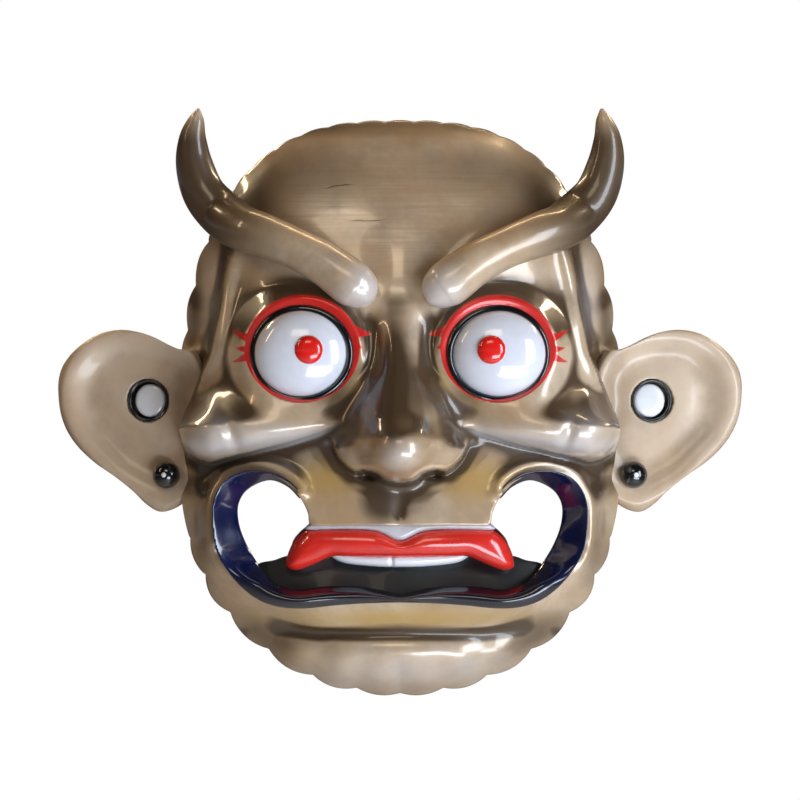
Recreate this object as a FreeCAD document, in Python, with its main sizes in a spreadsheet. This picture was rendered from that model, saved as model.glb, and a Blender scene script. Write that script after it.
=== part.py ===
import FreeCAD, Part
import math
import os

Vector = FreeCAD.Vector
document = FreeCAD.newDocument("noh_mask")

sizes = [
    ("head_width", 162.8),
    ("head_height", 211.5),
    ("face_depth", 83.0),
    ("rim_share", 0.9),
    ("cavity_depth", 37.0),
    ("eye_width", 34.4),
    ("eye_height", 31.6),
    ("eye_bulge", 8.6),
    ("eye_ring_side_wall", 1.7),
    ("eye_ring_top_wall", 2.1),
    ("pupil_radius", 5.25),
    ("pupil_dome_radius", 7.4),
    ("horn_girth", 1.0),
    ("lip_girth", 1.0),
    ("ear_thickness", 10.0),
    ("ear_ring_radius", 7.8),
    ("ear_ring_wall", 1.2),
    ("ear_ring_length", 8.0),
    ("ear_disc_thickness", 1.6),
    ("stud_radius", 5.1),
    ("stud_dot_radius", 0.95),
    ("cord_hole_radius", 2.0),
]
sheet = document.addObject("Spreadsheet::Sheet", "sizes")
for row, (name, value) in enumerate(sizes, 1):
    sheet.set("A%d" % row, name)
    sheet.set("B%d" % row, str(value))
    sheet.setAlias("B%d" % row, name)
document.recompute()
size = {name: float(sheet.get(name)) for name, value in sizes}

# The face is shaped at its natural size and stretched to the stated sizes.
wide = size["head_width"] / 162.8
tall = size["head_height"] / 211.5
deep = size["face_depth"] / 83.0

crown_centre = -20.0
socket_floor = 43.0
eye_equator = 52.4
ring_front = 53.9
mouth_floor = 40.0
eye_x, eye_z = 35.8, 19.0
pupil_x, pupil_z = 33.2, 20.4
ear_ring_x, ear_ring_z = 93.2, 2.0
stud_x, stud_z = 86.3, -25.4


def place(x, z, height):
    """A point of the face: x to the side, z up, height forward of the back plane."""
    return Vector(x * wide, -height * deep, z * tall)


def clamp(value, low=0.0, high=1.0):
    return min(max(value, low), high)


def step(start, end, value):
    share = clamp((value - start) / (end - start))
    return share * share * (3 - 2 * share)


def join(first, second, softness):
    gap = first - second
    return (first + second + math.sqrt(gap * gap + softness * softness)) / 2


def bump(x, z, centre_x, centre_z, reach_x, reach_z, turn=0.0):
    angle = math.radians(turn)
    along = (x - centre_x) * math.cos(angle) + (z - centre_z) * math.sin(angle)
    across = (z - centre_z) * math.cos(angle) - (x - centre_x) * math.sin(angle)
    return math.exp(-(along / reach_x) ** 2 - (across / reach_z) ** 2)


def cap(share):
    """Round profile: 1 in the middle, falling steeply past the edge."""
    return math.sqrt(1 - share) if share < 0.94 else 0.245 - (share - 0.94) * 2.0


def lump(x, z, centre_x, centre_z, reach_x, reach_z, low, high, turn=0.0, power=2.0):
    angle = math.radians(turn)
    along = (x - centre_x) * math.cos(angle) + (z - centre_z) * math.sin(angle)
    across = (z - centre_z) * math.cos(angle) - (x - centre_x) * math.sin(angle)
    return low + (high - low) * cap(abs(along / reach_x) ** power + abs(across / reach_z) ** power)


def curve(places, values, where):
    """Smooth curve through the given values, level at both ends."""
    if where <= places[0]:
        return values[0]
    if where >= places[-1]:
        return values[-1]
    last = len(places) - 1
    slot = 0
    while where > places[slot + 1]:
        slot += 1
    slopes = []
    for index in (slot, slot + 1):
        if index == 0 or index == last:
            slopes.append(0.0)
        else:
            slopes.append((values[index + 1] - values[index - 1]) / (places[index + 1] - places[index - 1]))
    length = places[slot + 1] - places[slot]
    u = (where - places[slot]) / length
    return (
        values[slot] * (2 * u ** 3 - 3 * u ** 2 + 1)
        + slopes[0] * length * (u ** 3 - 2 * u ** 2 + u)
        + values[slot + 1] * (3 * u ** 2 - 2 * u ** 3)
        + slopes[1] * length * (u ** 3 - u ** 2)
    )


def outline_share(x, z):
    """0 at the middle of the head, 1 on its outline."""
    rise = z - crown_centre
    power, reach = (2.75, 125.5) if rise > 0 else (2.1, 86.0)
    return ((abs(x) / 81.4) ** power + (abs(rise) / reach) ** power) ** (1 / power)


def round_shoulder(share, bend=0.97):
    """Dome profile that goes on falling past the outline."""
    if share < bend:
        return (1 - share ** 3) ** 0.55
    slope = -0.55 * (1 - bend ** 3) ** -0.45 * 3 * bend ** 2
    return (1 - bend ** 3) ** 0.55 + slope * (share - bend)


def skull(x, z):
    """The plain dome of the head without features."""
    crown = 47 + 4 * bump(x, z, 0, -30, 90, 50) - 4 * step(70, 105, z)
    return 14 + (crown - 14) * round_shoulder(outline_share(x, z))


def side_fold(x, z, side):
    """The step down from the face to the side band and the ear's seat."""
    edge = curve([-6, 1, 13, 20, 32, 45, 75], [80.3, 77.7, 72.9, 69.9, 67.3, 65.0, 60.0], z)
    drop = curve([-9, -3, 12, 22, 60, 80], [0, 8, 10, 6, 5, 0], z)
    ridge = 1.4 * math.exp(-((side - edge + 2.0) / 2.6) ** 2) * step(-4, 10, z) * step(75, 55, z)
    return ridge - drop * step(-1.0, 1.8, side - edge)


def brow(x, z, side):
    """Glabella, brow shelf that meets the horns, and the eye hollows."""
    shelf = curve([10, 20, 30, 45, 60], [36, 42, 50, 58.5, 66], side)
    height = 4.0 * math.exp(-((z - shelf) / 9) ** 2) * step(4, 14, side) * step(66, 46, side)
    height += 4.0 * bump(x, z, 0, 46, 11, 22)
    height -= 2.5 * bump(side, z, 60, 42, 9, 9, 40)
    return height - 3.0 * bump(side, z, 17.5, 27, 5, 9)


def eye_mound(side, z, ground):
    """A soft swelling, levelled round the ring."""
    height = ground + 8 * bump(side, z, 41, 17, 22, 22)
    share = math.hypot((side - eye_x) / 18.9, (z - eye_z) / 17.9)
    level = 53.6 - 0.12 * (side - eye_x) - 0.05 * (z - eye_z)
    height += (level - height) * step(1.55, 1.02, share) * 0.9
    return height + 1.4 * math.exp(-((share - 1.16) / 0.09) ** 2) * step(10, 24, z)


def cheek(side, z, ground):
    """A roll: soft above its crest, round and crisp below, ending in a ball beside the ear."""
    ball = math.sqrt(clamp(1 - (max(side - 67.6, 0) / 13.4) ** 2, 0.0004))
    crest = curve([14, 22, 30, 40, 52, 62, 68, 76], [49, 52.5, 56, 58.6, 59.4, 58.6, 57.5, 56], side)
    centre = curve([16, 24, 36, 52, 64, 80], [-3.5, -5.5, -7.2, -8.4, -8.2, -8.0], side)
    lower = curve([18, 22, 32, 42, 50, 57, 64, 70], [-10.4, -11.0, -12.4, -14.8, -16.5, -18.0, -19.2, -20.2], side)
    low = crest - 17
    crest = low + (crest - low) * ball
    if z > centre:
        reach = curve([20, 40, 56, 66, 76], [12, 14, 13, 10.5, 9], side) * ball
        height = ground + (join(ground, crest, 2.2) - ground) * math.exp(-((z - centre) / reach) ** 2)
    else:
        reach = (centre - lower) * ball
        height = join(ground, low + (crest - low) * cap(((z - centre) / reach) ** 2), 2.2)
    inside = step(12, 24, side) if side < 81.0 else 0.0
    height = ground + (height - ground) * inside
    return height - 1.6 * bump(side, z, 61.0, -11, 2.4, 8, -20)


def nose(x, z, side, ground):
    """How far the nose stands above the face: broad wedge, ball tip and small wings."""
    ridge = curve([-48, -34, -27, -20, -13, -4, 8, 20, 32, 46], [48, 56, 70, 80.5, 81, 76, 68.5, 61, 55, 50], z)
    width = curve([-34, -24, -16, -8, 0, 8, 15, 30, 44], [14, 18.5, 19.5, 18.5, 16.5, 13.0, 10.0, 9.0, 9.5], z)
    wedge = max(ridge - ground, 0) * math.exp(-abs(side / width) ** 2.5)
    tip = lump(x, z, 0, -15.0, 13.5, 13.0, 58, 82.5) - ground
    wing = lump(side, z, 16.4, -17.2, 7.4, 6.8, 52, 66.5) - ground
    stand = join(join(wedge, tip, 4.5), wing, 5.5) - 0.6
    stand = max(stand, 0) * step(34, 24, side) * step(50, 36, z)
    base = curve([0, 5, 8.5, 13, 17, 22, 26], [-27.6, -26.8, -24.8, -23.8, -23.6, -19.0, -13.0], side)
    under = 0.22 * clamp(1 - (base - z) / 4.5) ** 1.3 * step(16, 8, side)
    return stand * (under + (1 - under) * step(-1.0, 1.2, z - base))


lip_edge = [
    (36.4, -34.0), (37.6, -30.0), (42.6, -25.9), (48.5, -23.9), (56.4, -23.9), (63.2, -26.8), (67.3, -32.6),
    (68.4, -40.0), (67.0, -52.0), (61.6, -61.6), (54.0, -68.9), (46.0, -72.6), (36.0, -73.6),
    (24.0, -72.5), (12.0, -71.7), (0, -71.5),
]
jaw_crease = [
    (66.0, -54.5), (60.8, -64.4), (53.6, -71.4), (45.1, -77.7), (37.4, -82.4), (29.6, -83.6),
    (21.8, -82.8), (0, -82.0),
]


def distance_to(points, side, z):
    """Distance to a row of points joined by straight lines."""
    best = 1e9
    for (ax, az), (bx, bz) in zip(points, points[1:]):
        across, up = bx - ax, bz - az
        share = clamp(((side - ax) * across + (z - az) * up) / (across ** 2 + up ** 2))
        best = min(best, math.hypot(side - ax - share * across, z - az - share * up))
    return best


def inside_lip(side, z):
    count = 0
    for (ax, az), (bx, bz) in zip(lip_edge, lip_edge[1:] + [(0, -34.0), lip_edge[0]]):
        if (az > z) != (bz > z) and side < ax + (z - az) * (bx - ax) / (bz - az):
            count += 1
    return count % 2 == 1


def face(x, z):
    """Height of the carved face above the back plane."""
    side = abs(x)
    height = skull(x, z) + brow(x, z, side) + side_fold(x, z, side)
    height = eye_mound(side, z, height)
    height = cheek(side, z, height)
    height = join(height, lump(side, z, 0, -46, 71.5, 37.5, 37, 54.5, 0, 2.4), 2.0)
    if z < -10:
        beyond = distance_to(lip_edge, side, z) * (-1 if inside_lip(side, z) else 1)
        roll = math.exp(-((beyond - 2.6) / 2.4) ** 2) * (1 - step(38, 30, side) * step(-52, -46, z))
        height += 2.4 * roll * step(-66, -50, z)
        height -= 2.3 * math.exp(-(distance_to(jaw_crease, side, z) / 4.6) ** 2)
    height += 8.5 * math.exp(-((x / 52) ** 2 + ((z + 96) / 12.5) ** 2) ** 1.4)
    height += nose(x, z, side, height)
    height -= 6 * bump(side, z, 11.6, -24.6, 4.2, 1.7, 8)
    height -= 1.2 * bump(x, z, 0, -38, 3.2, 7)
    return height + 1.2 * math.exp(-((z + 43) / 2.2) ** 2) * step(33, 30, side)


def hollow(x, z):
    """Height of the smooth inside of the mask, which leaves room for the wearer's nose."""
    share = outline_share(x, z) / size["rim_share"]
    depth = size["cavity_depth"]
    return 2 + (depth - 2) * round_shoulder(share) + 14 * bump(x, z, 0, -12, 15, 24)


def relief(height, left, right, low, high, across, up, depth=160.0):
    """Solid lying behind a carved surface."""
    rows = []
    for i in range(across):
        x = left + (right - left) * i / (across - 1)
        row = []
        for j in range(up):
            z = low + (high - low) * j / (up - 1)
            row.append(place(x, z, height(x, z)))
        rows.append(row)
    surface = Part.BSplineSurface()
    surface.interpolate(rows)
    return surface.toShape().extrude(Vector(0, depth, 0))


def closed_spline(points, height):
    spline = Part.BSplineCurve()
    spline.interpolate(Points=[place(x, z, height) for x, z in points], PeriodicFlag=True)
    return Part.Wire([spline.toShape()])


def column(points, front, back):
    """Straight block with a smooth closed outline, running between two heights."""
    return Part.Face(closed_spline(points, front)).extrude(Vector(0, (front - back) * deep, 0))


def sharp_column(points, front, back):
    """Straight block with a cornered outline."""
    corners = [place(x, z, front) for x, z in points]
    return Part.Face(Part.makePolygon(corners + corners[:1])).extrude(Vector(0, (front - back) * deep, 0))


def oval_column(centre_x, centre_z, width, height, front, back):
    """Straight block with an oval outline of the stated width and height."""
    long_way, short_way = max(width, height) / 2, min(width, height) / 2
    edge = Part.Ellipse(Vector(0, 0, 0), long_way, short_way).toShape()
    block = Part.Face(Part.Wire([edge])).extrude(Vector(0, 0, (front - back) * deep))
    if height > width:
        block.rotate(Vector(0, 0, 0), Vector(0, 0, 1), 90)
    block.rotate(Vector(0, 0, 0), Vector(1, 0, 0), -90)
    block.translate(place(centre_x, centre_z, front))
    return block


def mirrored(points):
    """A right-hand half outline, top to bottom, made whole with its left-hand image."""
    return points + [(-x, z) for x, z in reversed(points) if x > 0.01]


def biggest(shape):
    return max(shape.Solids, key=lambda solid: solid.Volume)


def image(shape):
    """The left-hand image of a right-hand solid."""
    return shape.mirror(Vector(0, 0, 0), Vector(1, 0, 0))


def open_edges(shape):
    """How many edges of the meshed surface don't have exactly two neighbours."""
    corners, triangles = shape.tessellate(0.2)
    seen, names = {}, []
    for corner in corners:
        key = (round(corner.x, 5), round(corner.y, 5), round(corner.z, 5))
        names.append(seen.setdefault(key, len(seen)))
    uses = {}
    for a, b, c in triangles:
        for pair in ((a, b), (b, c), (c, a)):
            edge = tuple(sorted((names[pair[0]], names[pair[1]])))
            uses[edge] = uses.get(edge, 0) + 1
    return sum(1 for count in uses.values() if count != 2)


def true_box(shape):
    box = shape.optimalBoundingBox(True, False)
    return [round(v, 1) for v in (box.XMin, box.XMax, box.YMin, box.YMax, box.ZMin, box.ZMax)]


def outline_point(angle, swell):
    """Point of the head outline at an angle from straight up, moved out by swell."""
    across, up = math.sin(angle), math.cos(angle)
    reach = 1 / outline_share(across, crown_centre + up) + swell
    return reach * across, crown_centre + reach * up


def outline_angles(lengths):
    """Angles at which the outline has been followed for each running total of lengths."""
    targets, total = [], 0.0
    for length in lengths:
        total += length
        targets.append(total)
    angles, run, angle = [], 0.0, 0.0
    here = outline_point(0, 0)
    while angle < math.pi and len(angles) < len(targets):
        angle += 0.0005
        there = outline_point(angle, 0)
        run += math.hypot(there[0] - here[0], there[1] - here[1])
        here = there
        if run >= targets[len(angles)]:
            angles.append(angle)
    return angles


def scalloped_outline(height):
    """Head outline: small waves over the crown, plain beside the ears, wide folds on the jaw."""
    folds = [(5.35, 0.7)] + [(10.7, 0.7)] * 8 + [(17, 1.2)] * 3 + [(20, 0.1)] * 3
    folds += [(15, 1.0), (17, 1.6), (20, 1.6), (19, 1.3), (17, 1.2), (18, 1.2)]
    angles = outline_angles([length for length, swell in folds])
    stations, previous = [], -angles[0]
    for index, (length, swell) in enumerate(folds):
        if index < len(angles):
            stations.append(((previous + angles[index]) / 2, angles[index], swell))
            previous = angles[index]
    edges = []
    for side in (1, -1):
        start = angles[0]
        for middle, end, swell in stations[1:]:
            ends = [outline_point(start, -swell * 0.6), outline_point(middle, swell), outline_point(end, -swell * 0.6)]
            edges.append((side, ends))
            start = end
    crown = [outline_point(-angles[0], -0.42), outline_point(0, 0.7), outline_point(angles[0], -0.42)]
    chin = [outline_point(start, -0.72), outline_point(math.pi, 1.0), outline_point(2 * math.pi - start, -0.72)]
    right = [ends for side, ends in edges if side > 0]
    left = [[(-x, z) for x, z in reversed(ends)] for side, ends in edges if side < 0]
    chain = [crown] + right + [chin] + left[::-1]
    pieces, here = [], chain[0][0]
    for first, middle, last in chain:
        last = chain[0][0] if first is chain[-1][0] else last
        arc = Part.Arc(place(*here, height), place(*middle, height), place(*last, height))
        pieces.append(arc.toShape())
        here = last
    return Part.Wire(pieces)


def rod(stations, girth, flatten=1.0):
    """Smooth rod of changing thickness through (x, z, height, radius) stations, flat at both ends."""
    centres = [place(x, z, height) for x, z, height, radius in stations]
    rows = []
    for index, (x, z, height, radius) in enumerate(stations):
        ahead = centres[min(index + 1, len(centres) - 1)]
        behind = centres[max(index - 1, 0)]
        along = (ahead - behind).normalize()
        across = along.cross(Vector(0, -1, 0)).normalize()
        forward = across.cross(along).normalize()
        row = []
        for i in range(17):
            angle = 2 * math.pi * i / 16
            reach = radius * girth
            row.append(centres[index] + forward * (math.cos(angle) * reach * flatten)
                       + across * (math.sin(angle) * reach))
        rows.append(row)
    surface = Part.BSplineSurface()
    surface.interpolate(rows)
    skin = surface.toShape()
    faces = [skin]
    for edge in skin.Edges:
        if edge.isClosed():
            faces.append(Part.Face(Part.Wire([edge])))
    closed = Part.Shell(faces)
    closed.sewShape()
    solid = Part.Solid(closed)
    return solid if solid.Volume > 0 else solid.reversed()


def add_shape(label, shape, bound):
    """A carved sub-part, its stated sizes bound to the sheet."""
    item = document.addObject("Part::Feature", label)
    item.Shape = shape
    item.Label = label
    for name in bound:
        item.addProperty("App::PropertyFloat", name, "Sizes")
        item.setExpression(name, "sizes.%s" % name)
    return item


def add_primitive(kind, label, bindings, placement):
    item = document.addObject(kind, label)
    for name, expression in bindings.items():
        item.setExpression(name, expression)
    item.Placement = placement
    return item


def facing(point, turn=0.0):
    """Placement whose own z axis looks forward out of the face, turned to one side."""
    look = FreeCAD.Rotation(Vector(0, 0, 1), turn) * FreeCAD.Rotation(Vector(1, 0, 0), 90)
    return FreeCAD.Placement(point, look)


# ---- outer form of the head
carved = relief(face, -88, 88, -113, 112, 89, 113)
head_column = Part.Face(scalloped_outline(120)).extrude(Vector(0, 120 * deep, 0))
head = carved.common(head_column)

# ---- eyes: a domed eyeball in a black ring, both standing in an oval socket
eye_pieces = {}
for label, side in (("left", -1), ("right", 1)):
    x = eye_x * side
    ring_width = size["eye_width"] + 2 * size["eye_ring_side_wall"]
    ring_height = size["eye_height"] + 2 * size["eye_ring_top_wall"]
    socket = oval_column(x, eye_z, ring_width, ring_height, 100, socket_floor)
    drum = oval_column(x, eye_z, size["eye_width"], size["eye_height"], eye_equator, socket_floor)
    pupil_centre = place(pupil_x * side, pupil_z, eye_equator)
    rise = size["eye_bulge"] - size["pupil_dome_radius"] + 1.9
    barrel = add_primitive(
        "Part::Cylinder", "pupil_barrel_" + label,
        {"Radius": "sizes.pupil_radius", "Height": "16"},
        facing(pupil_centre + Vector(0, -5.0, 0)))
    ball = add_primitive(
        "Part::Sphere", "pupil_ball_" + label,
        {"Radius": "sizes.pupil_dome_radius"},
        facing(pupil_centre + Vector(0, -rise, 0)))
    pupil = document.addObject("Part::Common", "pupil_" + label)
    pupil.Base = barrel
    pupil.Tool = ball
    dome = add_primitive(
        "Part::Ellipsoid", "eye_dome_" + label,
        {"Radius1": "sizes.eye_bulge", "Radius2": "sizes.eye_width / 2", "Radius3": "sizes.eye_height / 2"},
        facing(place(x, eye_z, eye_equator)))
    document.recompute()
    front_half = Part.makeBox(80, 40, 80, place(x, eye_z, eye_equator) - Vector(40, 40, 40))
    ball_shape = drum.fuse(dome.Shape.common(front_half)).removeSplitter()
    # the ring's front is a flat slope that falls outwards and upwards like the face around it
    inner_front = place(x - 30 * side, eye_z - 30, ring_front + 5.1)
    outer_front = place(x + 30 * side, eye_z - 30, ring_front - 2.1)
    outer_back = place(x + 30 * side, eye_z - 30, socket_floor - 10)
    inner_back = place(x - 30 * side, eye_z - 30, socket_floor - 10)
    corners = [inner_front, outer_front, outer_back, inner_back, inner_front]
    wedge = Part.Face(Part.makePolygon(corners)).extrude(Vector(0, 3 * deep, 60))
    bore = oval_column(x, eye_z, size["eye_width"], size["eye_height"], 100, socket_floor)
    ring_shape = biggest(socket.common(wedge).cut(bore))
    eye_pieces[label] = (socket, ball_shape, ring_shape, pupil.Shape)

# ---- mouth: one wide recess with an open corner at each end
corner_hole = [
    (48.3, -25.9), (57.0, -29.5), (61.4, -35.2), (61.6, -42.6), (59.0, -51.0), (53.6, -58.6),
    (46.0, -57.2), (41.3, -55.3), (39.3, -49.4), (36.4, -45.8), (33.3, -43.0), (33.2, -39.0),
    (35.0, -34.3), (41.2, -28.3),
]
mouth_half = [
    (0, -42.9), (16, -42.7), (30.0, -42.7), (38.0, -44.0), (46.0, -50.0), (51.6, -56.4),
    (54.4, -60.6), (48.0, -65.6), (38.0, -68.8), (25.0, -67.9), (12.0, -68.3), (0, -69.3),
]
mouth_recess = sharp_column(mirrored(mouth_half), 100, mouth_floor)
holes = {}
for label, side in (("left", -1), ("right", 1)):
    holes[label] = column([(x * side, z) for x, z in corner_hole], 100, -5)

# ---- mask shell
cavity_outline = [
    (0.9 * x, crown_centre + 0.9 * (z - crown_centre))
    for x, z in [outline_point(2 * math.pi * i / 48, 0) for i in range(48)]
]
inside = relief(hollow, -88, 88, -113, 112, 45, 57).common(column(cavity_outline, 90, -3))
shell = head.cut(inside)
for socket, ball_shape, ring_shape, pupil_shape in eye_pieces.values():
    shell = shell.cut(socket)
shell = shell.cut(mouth_recess)
for hole in holes.values():
    shell = shell.cut(hole)
for side in (1, -1):
    start = place(50 * side, 31, 7)
    rise = math.radians(10)
    drill = Part.makeCylinder(size["cord_hole_radius"], 60, start, Vector(side * math.cos(rise), 0, math.sin(rise)))
    shell = shell.cut(drill)
print("shell solids", len(shell.Solids), [round(s.Volume) for s in shell.Solids], shell.isValid())
shell = biggest(shell)
add_shape("mask_shell", shell, ["head_width", "head_height", "face_depth", "rim_share", "cavity_depth"])

for label, (socket, ball_shape, ring_shape, pupil_shape) in eye_pieces.items():
    add_shape("eyeball_" + label, ball_shape.cut(pupil_shape), ["eye_width", "eye_height", "eye_bulge"])
    add_shape("eye_ring_" + label, ring_shape, ["eye_width", "eye_height", "eye_ring_side_wall", "eye_ring_top_wall"])

# ---- horns: eyebrow-like rods laid over the forehead, rising free past the temples
horn_path = [
    (9.6, 38.6, 0.8), (10.2, 39.0, 3.2), (12.0, 40.4, 6.0), (15.0, 42.8, 7.9), (18.6, 45.4, 8.6),
    (27.4, 51.8, 8.0), (38.2, 57.5, 7.5), (50.3, 62.5, 8.2), (58.5, 65.6, 8.6),
    (65.6, 70.8, 8.8), (72.4, 78.6, 8.0), (76.0, 89.2, 6.9), (76.6, 98.4, 5.2), (75.2, 105.6, 3.0),
    (74.3, 110.0, 0.7),
]
horn_heights = []
for (x, z, radius), lift in zip(horn_path, (6.0, 6.2, 6.8, 7.4, 7.8, 7.5, 6.5, 5.5, 4.5, 4.5)):
    horn_heights.append(skull(x, z) + lift)
horn_heights += [22.5, 22.0, 23.0, 24.5, 25.5]
horn = rod([(x, z, h, r) for (x, z, r), h in zip(horn_path, horn_heights)], size["horn_girth"])
horn = biggest(horn.cut(shell))
add_shape("horn_right", horn, ["horn_girth"])
add_shape("horn_left", image(horn), ["horn_girth"])

# ---- ears: broad dished plates with a raised rim, a ringed recess and a stud on the lobe
ear_half = [
    (71.7, 19.2), (82.3, 21.2), (91.8, 25.7), (98.8, 27.8), (105.9, 28.0), (113.0, 25.9), (120.1, 21.0),
    (124.8, 15.3), (126.6, 9.6), (126.6, 3.5), (125.7, -3.1), (123.4, -9.3), (119.1, -15.4), (113.0, -21.0),
    (105.9, -25.8), (98.8, -31.4), (94.1, -36.1), (89.4, -39.0), (84.7, -38.5), (80.0, -35.7),
    (77.1, -31.0), (75.7, -24.8), (72.5, -8.0), (71.5, 6.0),
]


def ear_reach(x, z):
    """How far a point lies toward the ear's outer edge: 0 at the ring, 1 on the edge."""
    angle = math.atan2(z - ear_ring_z, x - ear_ring_x)
    edge = curve(
        [-3.15, -2.6, -2.2, -1.75, -1.45, -0.9, -0.4, 0.0, 0.4, 0.9, 1.35, 1.8, 2.3, 2.75, 3.15],
        [21, 26, 36, 41, 36.5, 31, 32, 33.6, 34, 31.5, 27.5, 25.5, 25, 23, 21],
        angle)
    return math.hypot(x - ear_ring_x, z - ear_ring_z) / edge


def ear_front(x, z):
    side = abs(x)
    plane = 23 - 0.16 * (side - 78)
    reach = ear_reach(side, z)
    height = plane + 2.8 * math.exp(-((reach - 0.9) / 0.18) ** 2) - 1.5 * math.exp(-((reach - 0.6) / 0.18) ** 2)
    height -= 7 * step(0.94, 1.12, reach)
    return height


def ear_back(x, z):
    side = abs(x)
    reach = ear_reach(side, z)
    return 23 - 0.16 * (side - 78) - size["ear_thickness"] + 3.5 * step(0.7, 1.1, reach)


front = relief(ear_front, 68, 131, -43, 32, 32, 38)
back = relief(ear_back, 68, 131, -43, 32, 22, 26)
ear_plate = front.cut(back).common(column(ear_half, 60, 2))
for label, side in (("left", -1), ("right", 1)):
    ring_front = place(ear_ring_x * side, ear_ring_z, 23.2 - 0.16 * (ear_ring_x - 78))
    turn = 8.0 * side
    seat = facing(ring_front, turn)
    back_seat = facing(seat.multVec(Vector(0, 0, -size["ear_ring_length"])), turn)
    outer = add_primitive(
        "Part::Cylinder", "ear_ring_outside_" + label,
        {"Radius": "sizes.ear_ring_radius", "Height": "sizes.ear_ring_length"}, back_seat)
    inner = add_primitive(
        "Part::Cylinder", "ear_ring_bore_" + label,
        {"Radius": "sizes.ear_ring_radius - sizes.ear_ring_wall", "Height": "sizes.ear_ring_length"}, back_seat)
    ring = document.addObject("Part::Cut", "ear_ring_" + label)
    ring.Base = outer
    ring.Tool = inner
    disc = add_primitive(
        "Part::Cylinder", "ear_disc_" + label,
        {"Radius": "sizes.ear_ring_radius - sizes.ear_ring_wall", "Height": "sizes.ear_disc_thickness"}, back_seat)
    ball_centre = place(stud_x * side, stud_z, 23)
    ball = add_primitive(
        "Part::Sphere", "stud_ball_" + label, {"Radius": "sizes.stud_radius"}, facing(ball_centre))
    dot_turn = 9.0 * side
    pin = add_primitive(
        "Part::Cylinder", "stud_pin_" + label,
        {"Radius": "sizes.stud_dot_radius", "Height": "sizes.stud_radius + 3"}, facing(ball_centre, dot_turn))
    core = add_primitive(
        "Part::Sphere", "stud_core_" + label, {"Radius": "sizes.stud_radius - 1.5"}, facing(ball_centre))
    skin = add_primitive(
        "Part::Sphere", "stud_skin_" + label, {"Radius": "sizes.stud_radius + 0.25"}, facing(ball_centre))
    stub = document.addObject("Part::Common", "stud_stub_" + label)
    stub.Base = pin
    stub.Tool = skin
    dot = document.addObject("Part::Cut", "stud_dot_" + label)
    dot.Base = stub
    dot.Tool = core
    stud = document.addObject("Part::Cut", "lobe_stud_" + label)
    stud.Base = ball
    stud.Tool = dot
    document.recompute()
    plate = ear_plate if side > 0 else image(ear_plate)
    plate = biggest(plate.cut(outer.Shape).cut(ball.Shape).cut(shell))
    add_shape("ear_" + label, plate, ["ear_thickness"])

# ---- lips and teeth
lip_half = [
    (36.2, -32.2, 0.9), (40.6, -27.9, 1.5), (47.0, -25.3, 1.9), (54.5, -26.4, 2.5), (60.6, -30.0, 3.4),
    (63.9, -36.4, 4.3), (63.9, -43.6, 4.5), (61.4, -52.0, 4.5), (57.0, -60.0, 4.5), (50.6, -66.2, 4.3),
    (43.0, -69.6, 3.8), (34.0, -70.4, 3.5), (24.0, -69.6, 3.1), (12.0, -69.2, 2.6),
]
lip_path = [(x, z, face(x, z) + 0.8, r) for x, z, r in lip_half] + [(0, -69.9, face(0, -69.9) + 0.8, 2.0)]
lip_path += [(-x, z, h, r) for x, z, h, r in reversed(lip_path[:-1])]
lip_rod = rod(lip_path, size["lip_girth"], 1.1)
lower_lip = biggest(lip_rod.cut(shell))
add_shape("lower_lip", lower_lip, ["lip_girth"])

red_half = [
    (0, -48.6), (5.5, -46.4), (10, -45.0), (22, -44.6), (32.6, -44.9), (36.4, -46.8), (39.3, -50.2),
    (41.4, -55.4), (41.6, -58.6), (39.2, -59.9), (36.2, -59.6), (30.6, -57.4), (25.0, -54.9),
    (22.8, -54.4), (0, -54.4),
]
band_half = [(0, -42.9), (16, -42.8), (29.6, -42.8), (33.0, -43.5), (33.3, -46), (0, -50)]
teeth_half = [(0, -54.0), (23.0, -54.0), (22.6, -57.6), (21.0, -58.2), (0, -58.2)]
panel_half = [
    (0, -53.0), (24.0, -53.0), (40.0, -54.0), (46.0, -55.0), (51.6, -56.4),
    (54.4, -60.6), (48.0, -65.6), (38.0, -68.8), (25.0, -67.9), (12.0, -68.3), (0, -69.3),
]


def mouth_piece(outline, height, inside_columns):
    left, right, low, high = -64, 64, -72, -40
    block = relief(height, left, right, low, high, 49, 17).common(sharp_column(mirrored(outline), 90, mouth_floor))
    for other in inside_columns:
        block = block.cut(other)
    return biggest(block)


def red_height(x, z):
    return 49 + 7.5 * cap(((z + 51) / 11) ** 2) - 5 * (abs(x) / 42) ** 2.5


def band_height(x, z):
    return 53.5 - 4 * (abs(x) / 42) ** 2.5


def teeth_height(x, z):
    return 52.5 - 3.5 * (abs(x) / 30) ** 2 - 1.0 * bump(x, 0, 0, 0, 1.2, 1)


def panel_height(x, z):
    crease = 2.0 * bump(x, 0, 1.5, 0, 2.5, 1) + 1.2 * bump(abs(x), 0, 22, 0, 3, 1)
    return 48 - 4 * (abs(x) / 50) ** 2 - crease


red_column = sharp_column(mirrored(red_half), 100, 20)
teeth_column = sharp_column(mirrored(teeth_half), 100, 20)
both_holes = list(holes.values())
add_shape("upper_lip", mouth_piece(red_half, red_height, both_holes), [])
add_shape("upper_teeth", mouth_piece(teeth_half, teeth_height, [red_column]), [])
add_shape("lip_band", mouth_piece(band_half, band_height, [red_column] + both_holes), [])
add_shape("inner_mouth", mouth_piece(panel_half, panel_height,
                                     [red_column, teeth_column, lip_rod] + both_holes), [])

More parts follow.
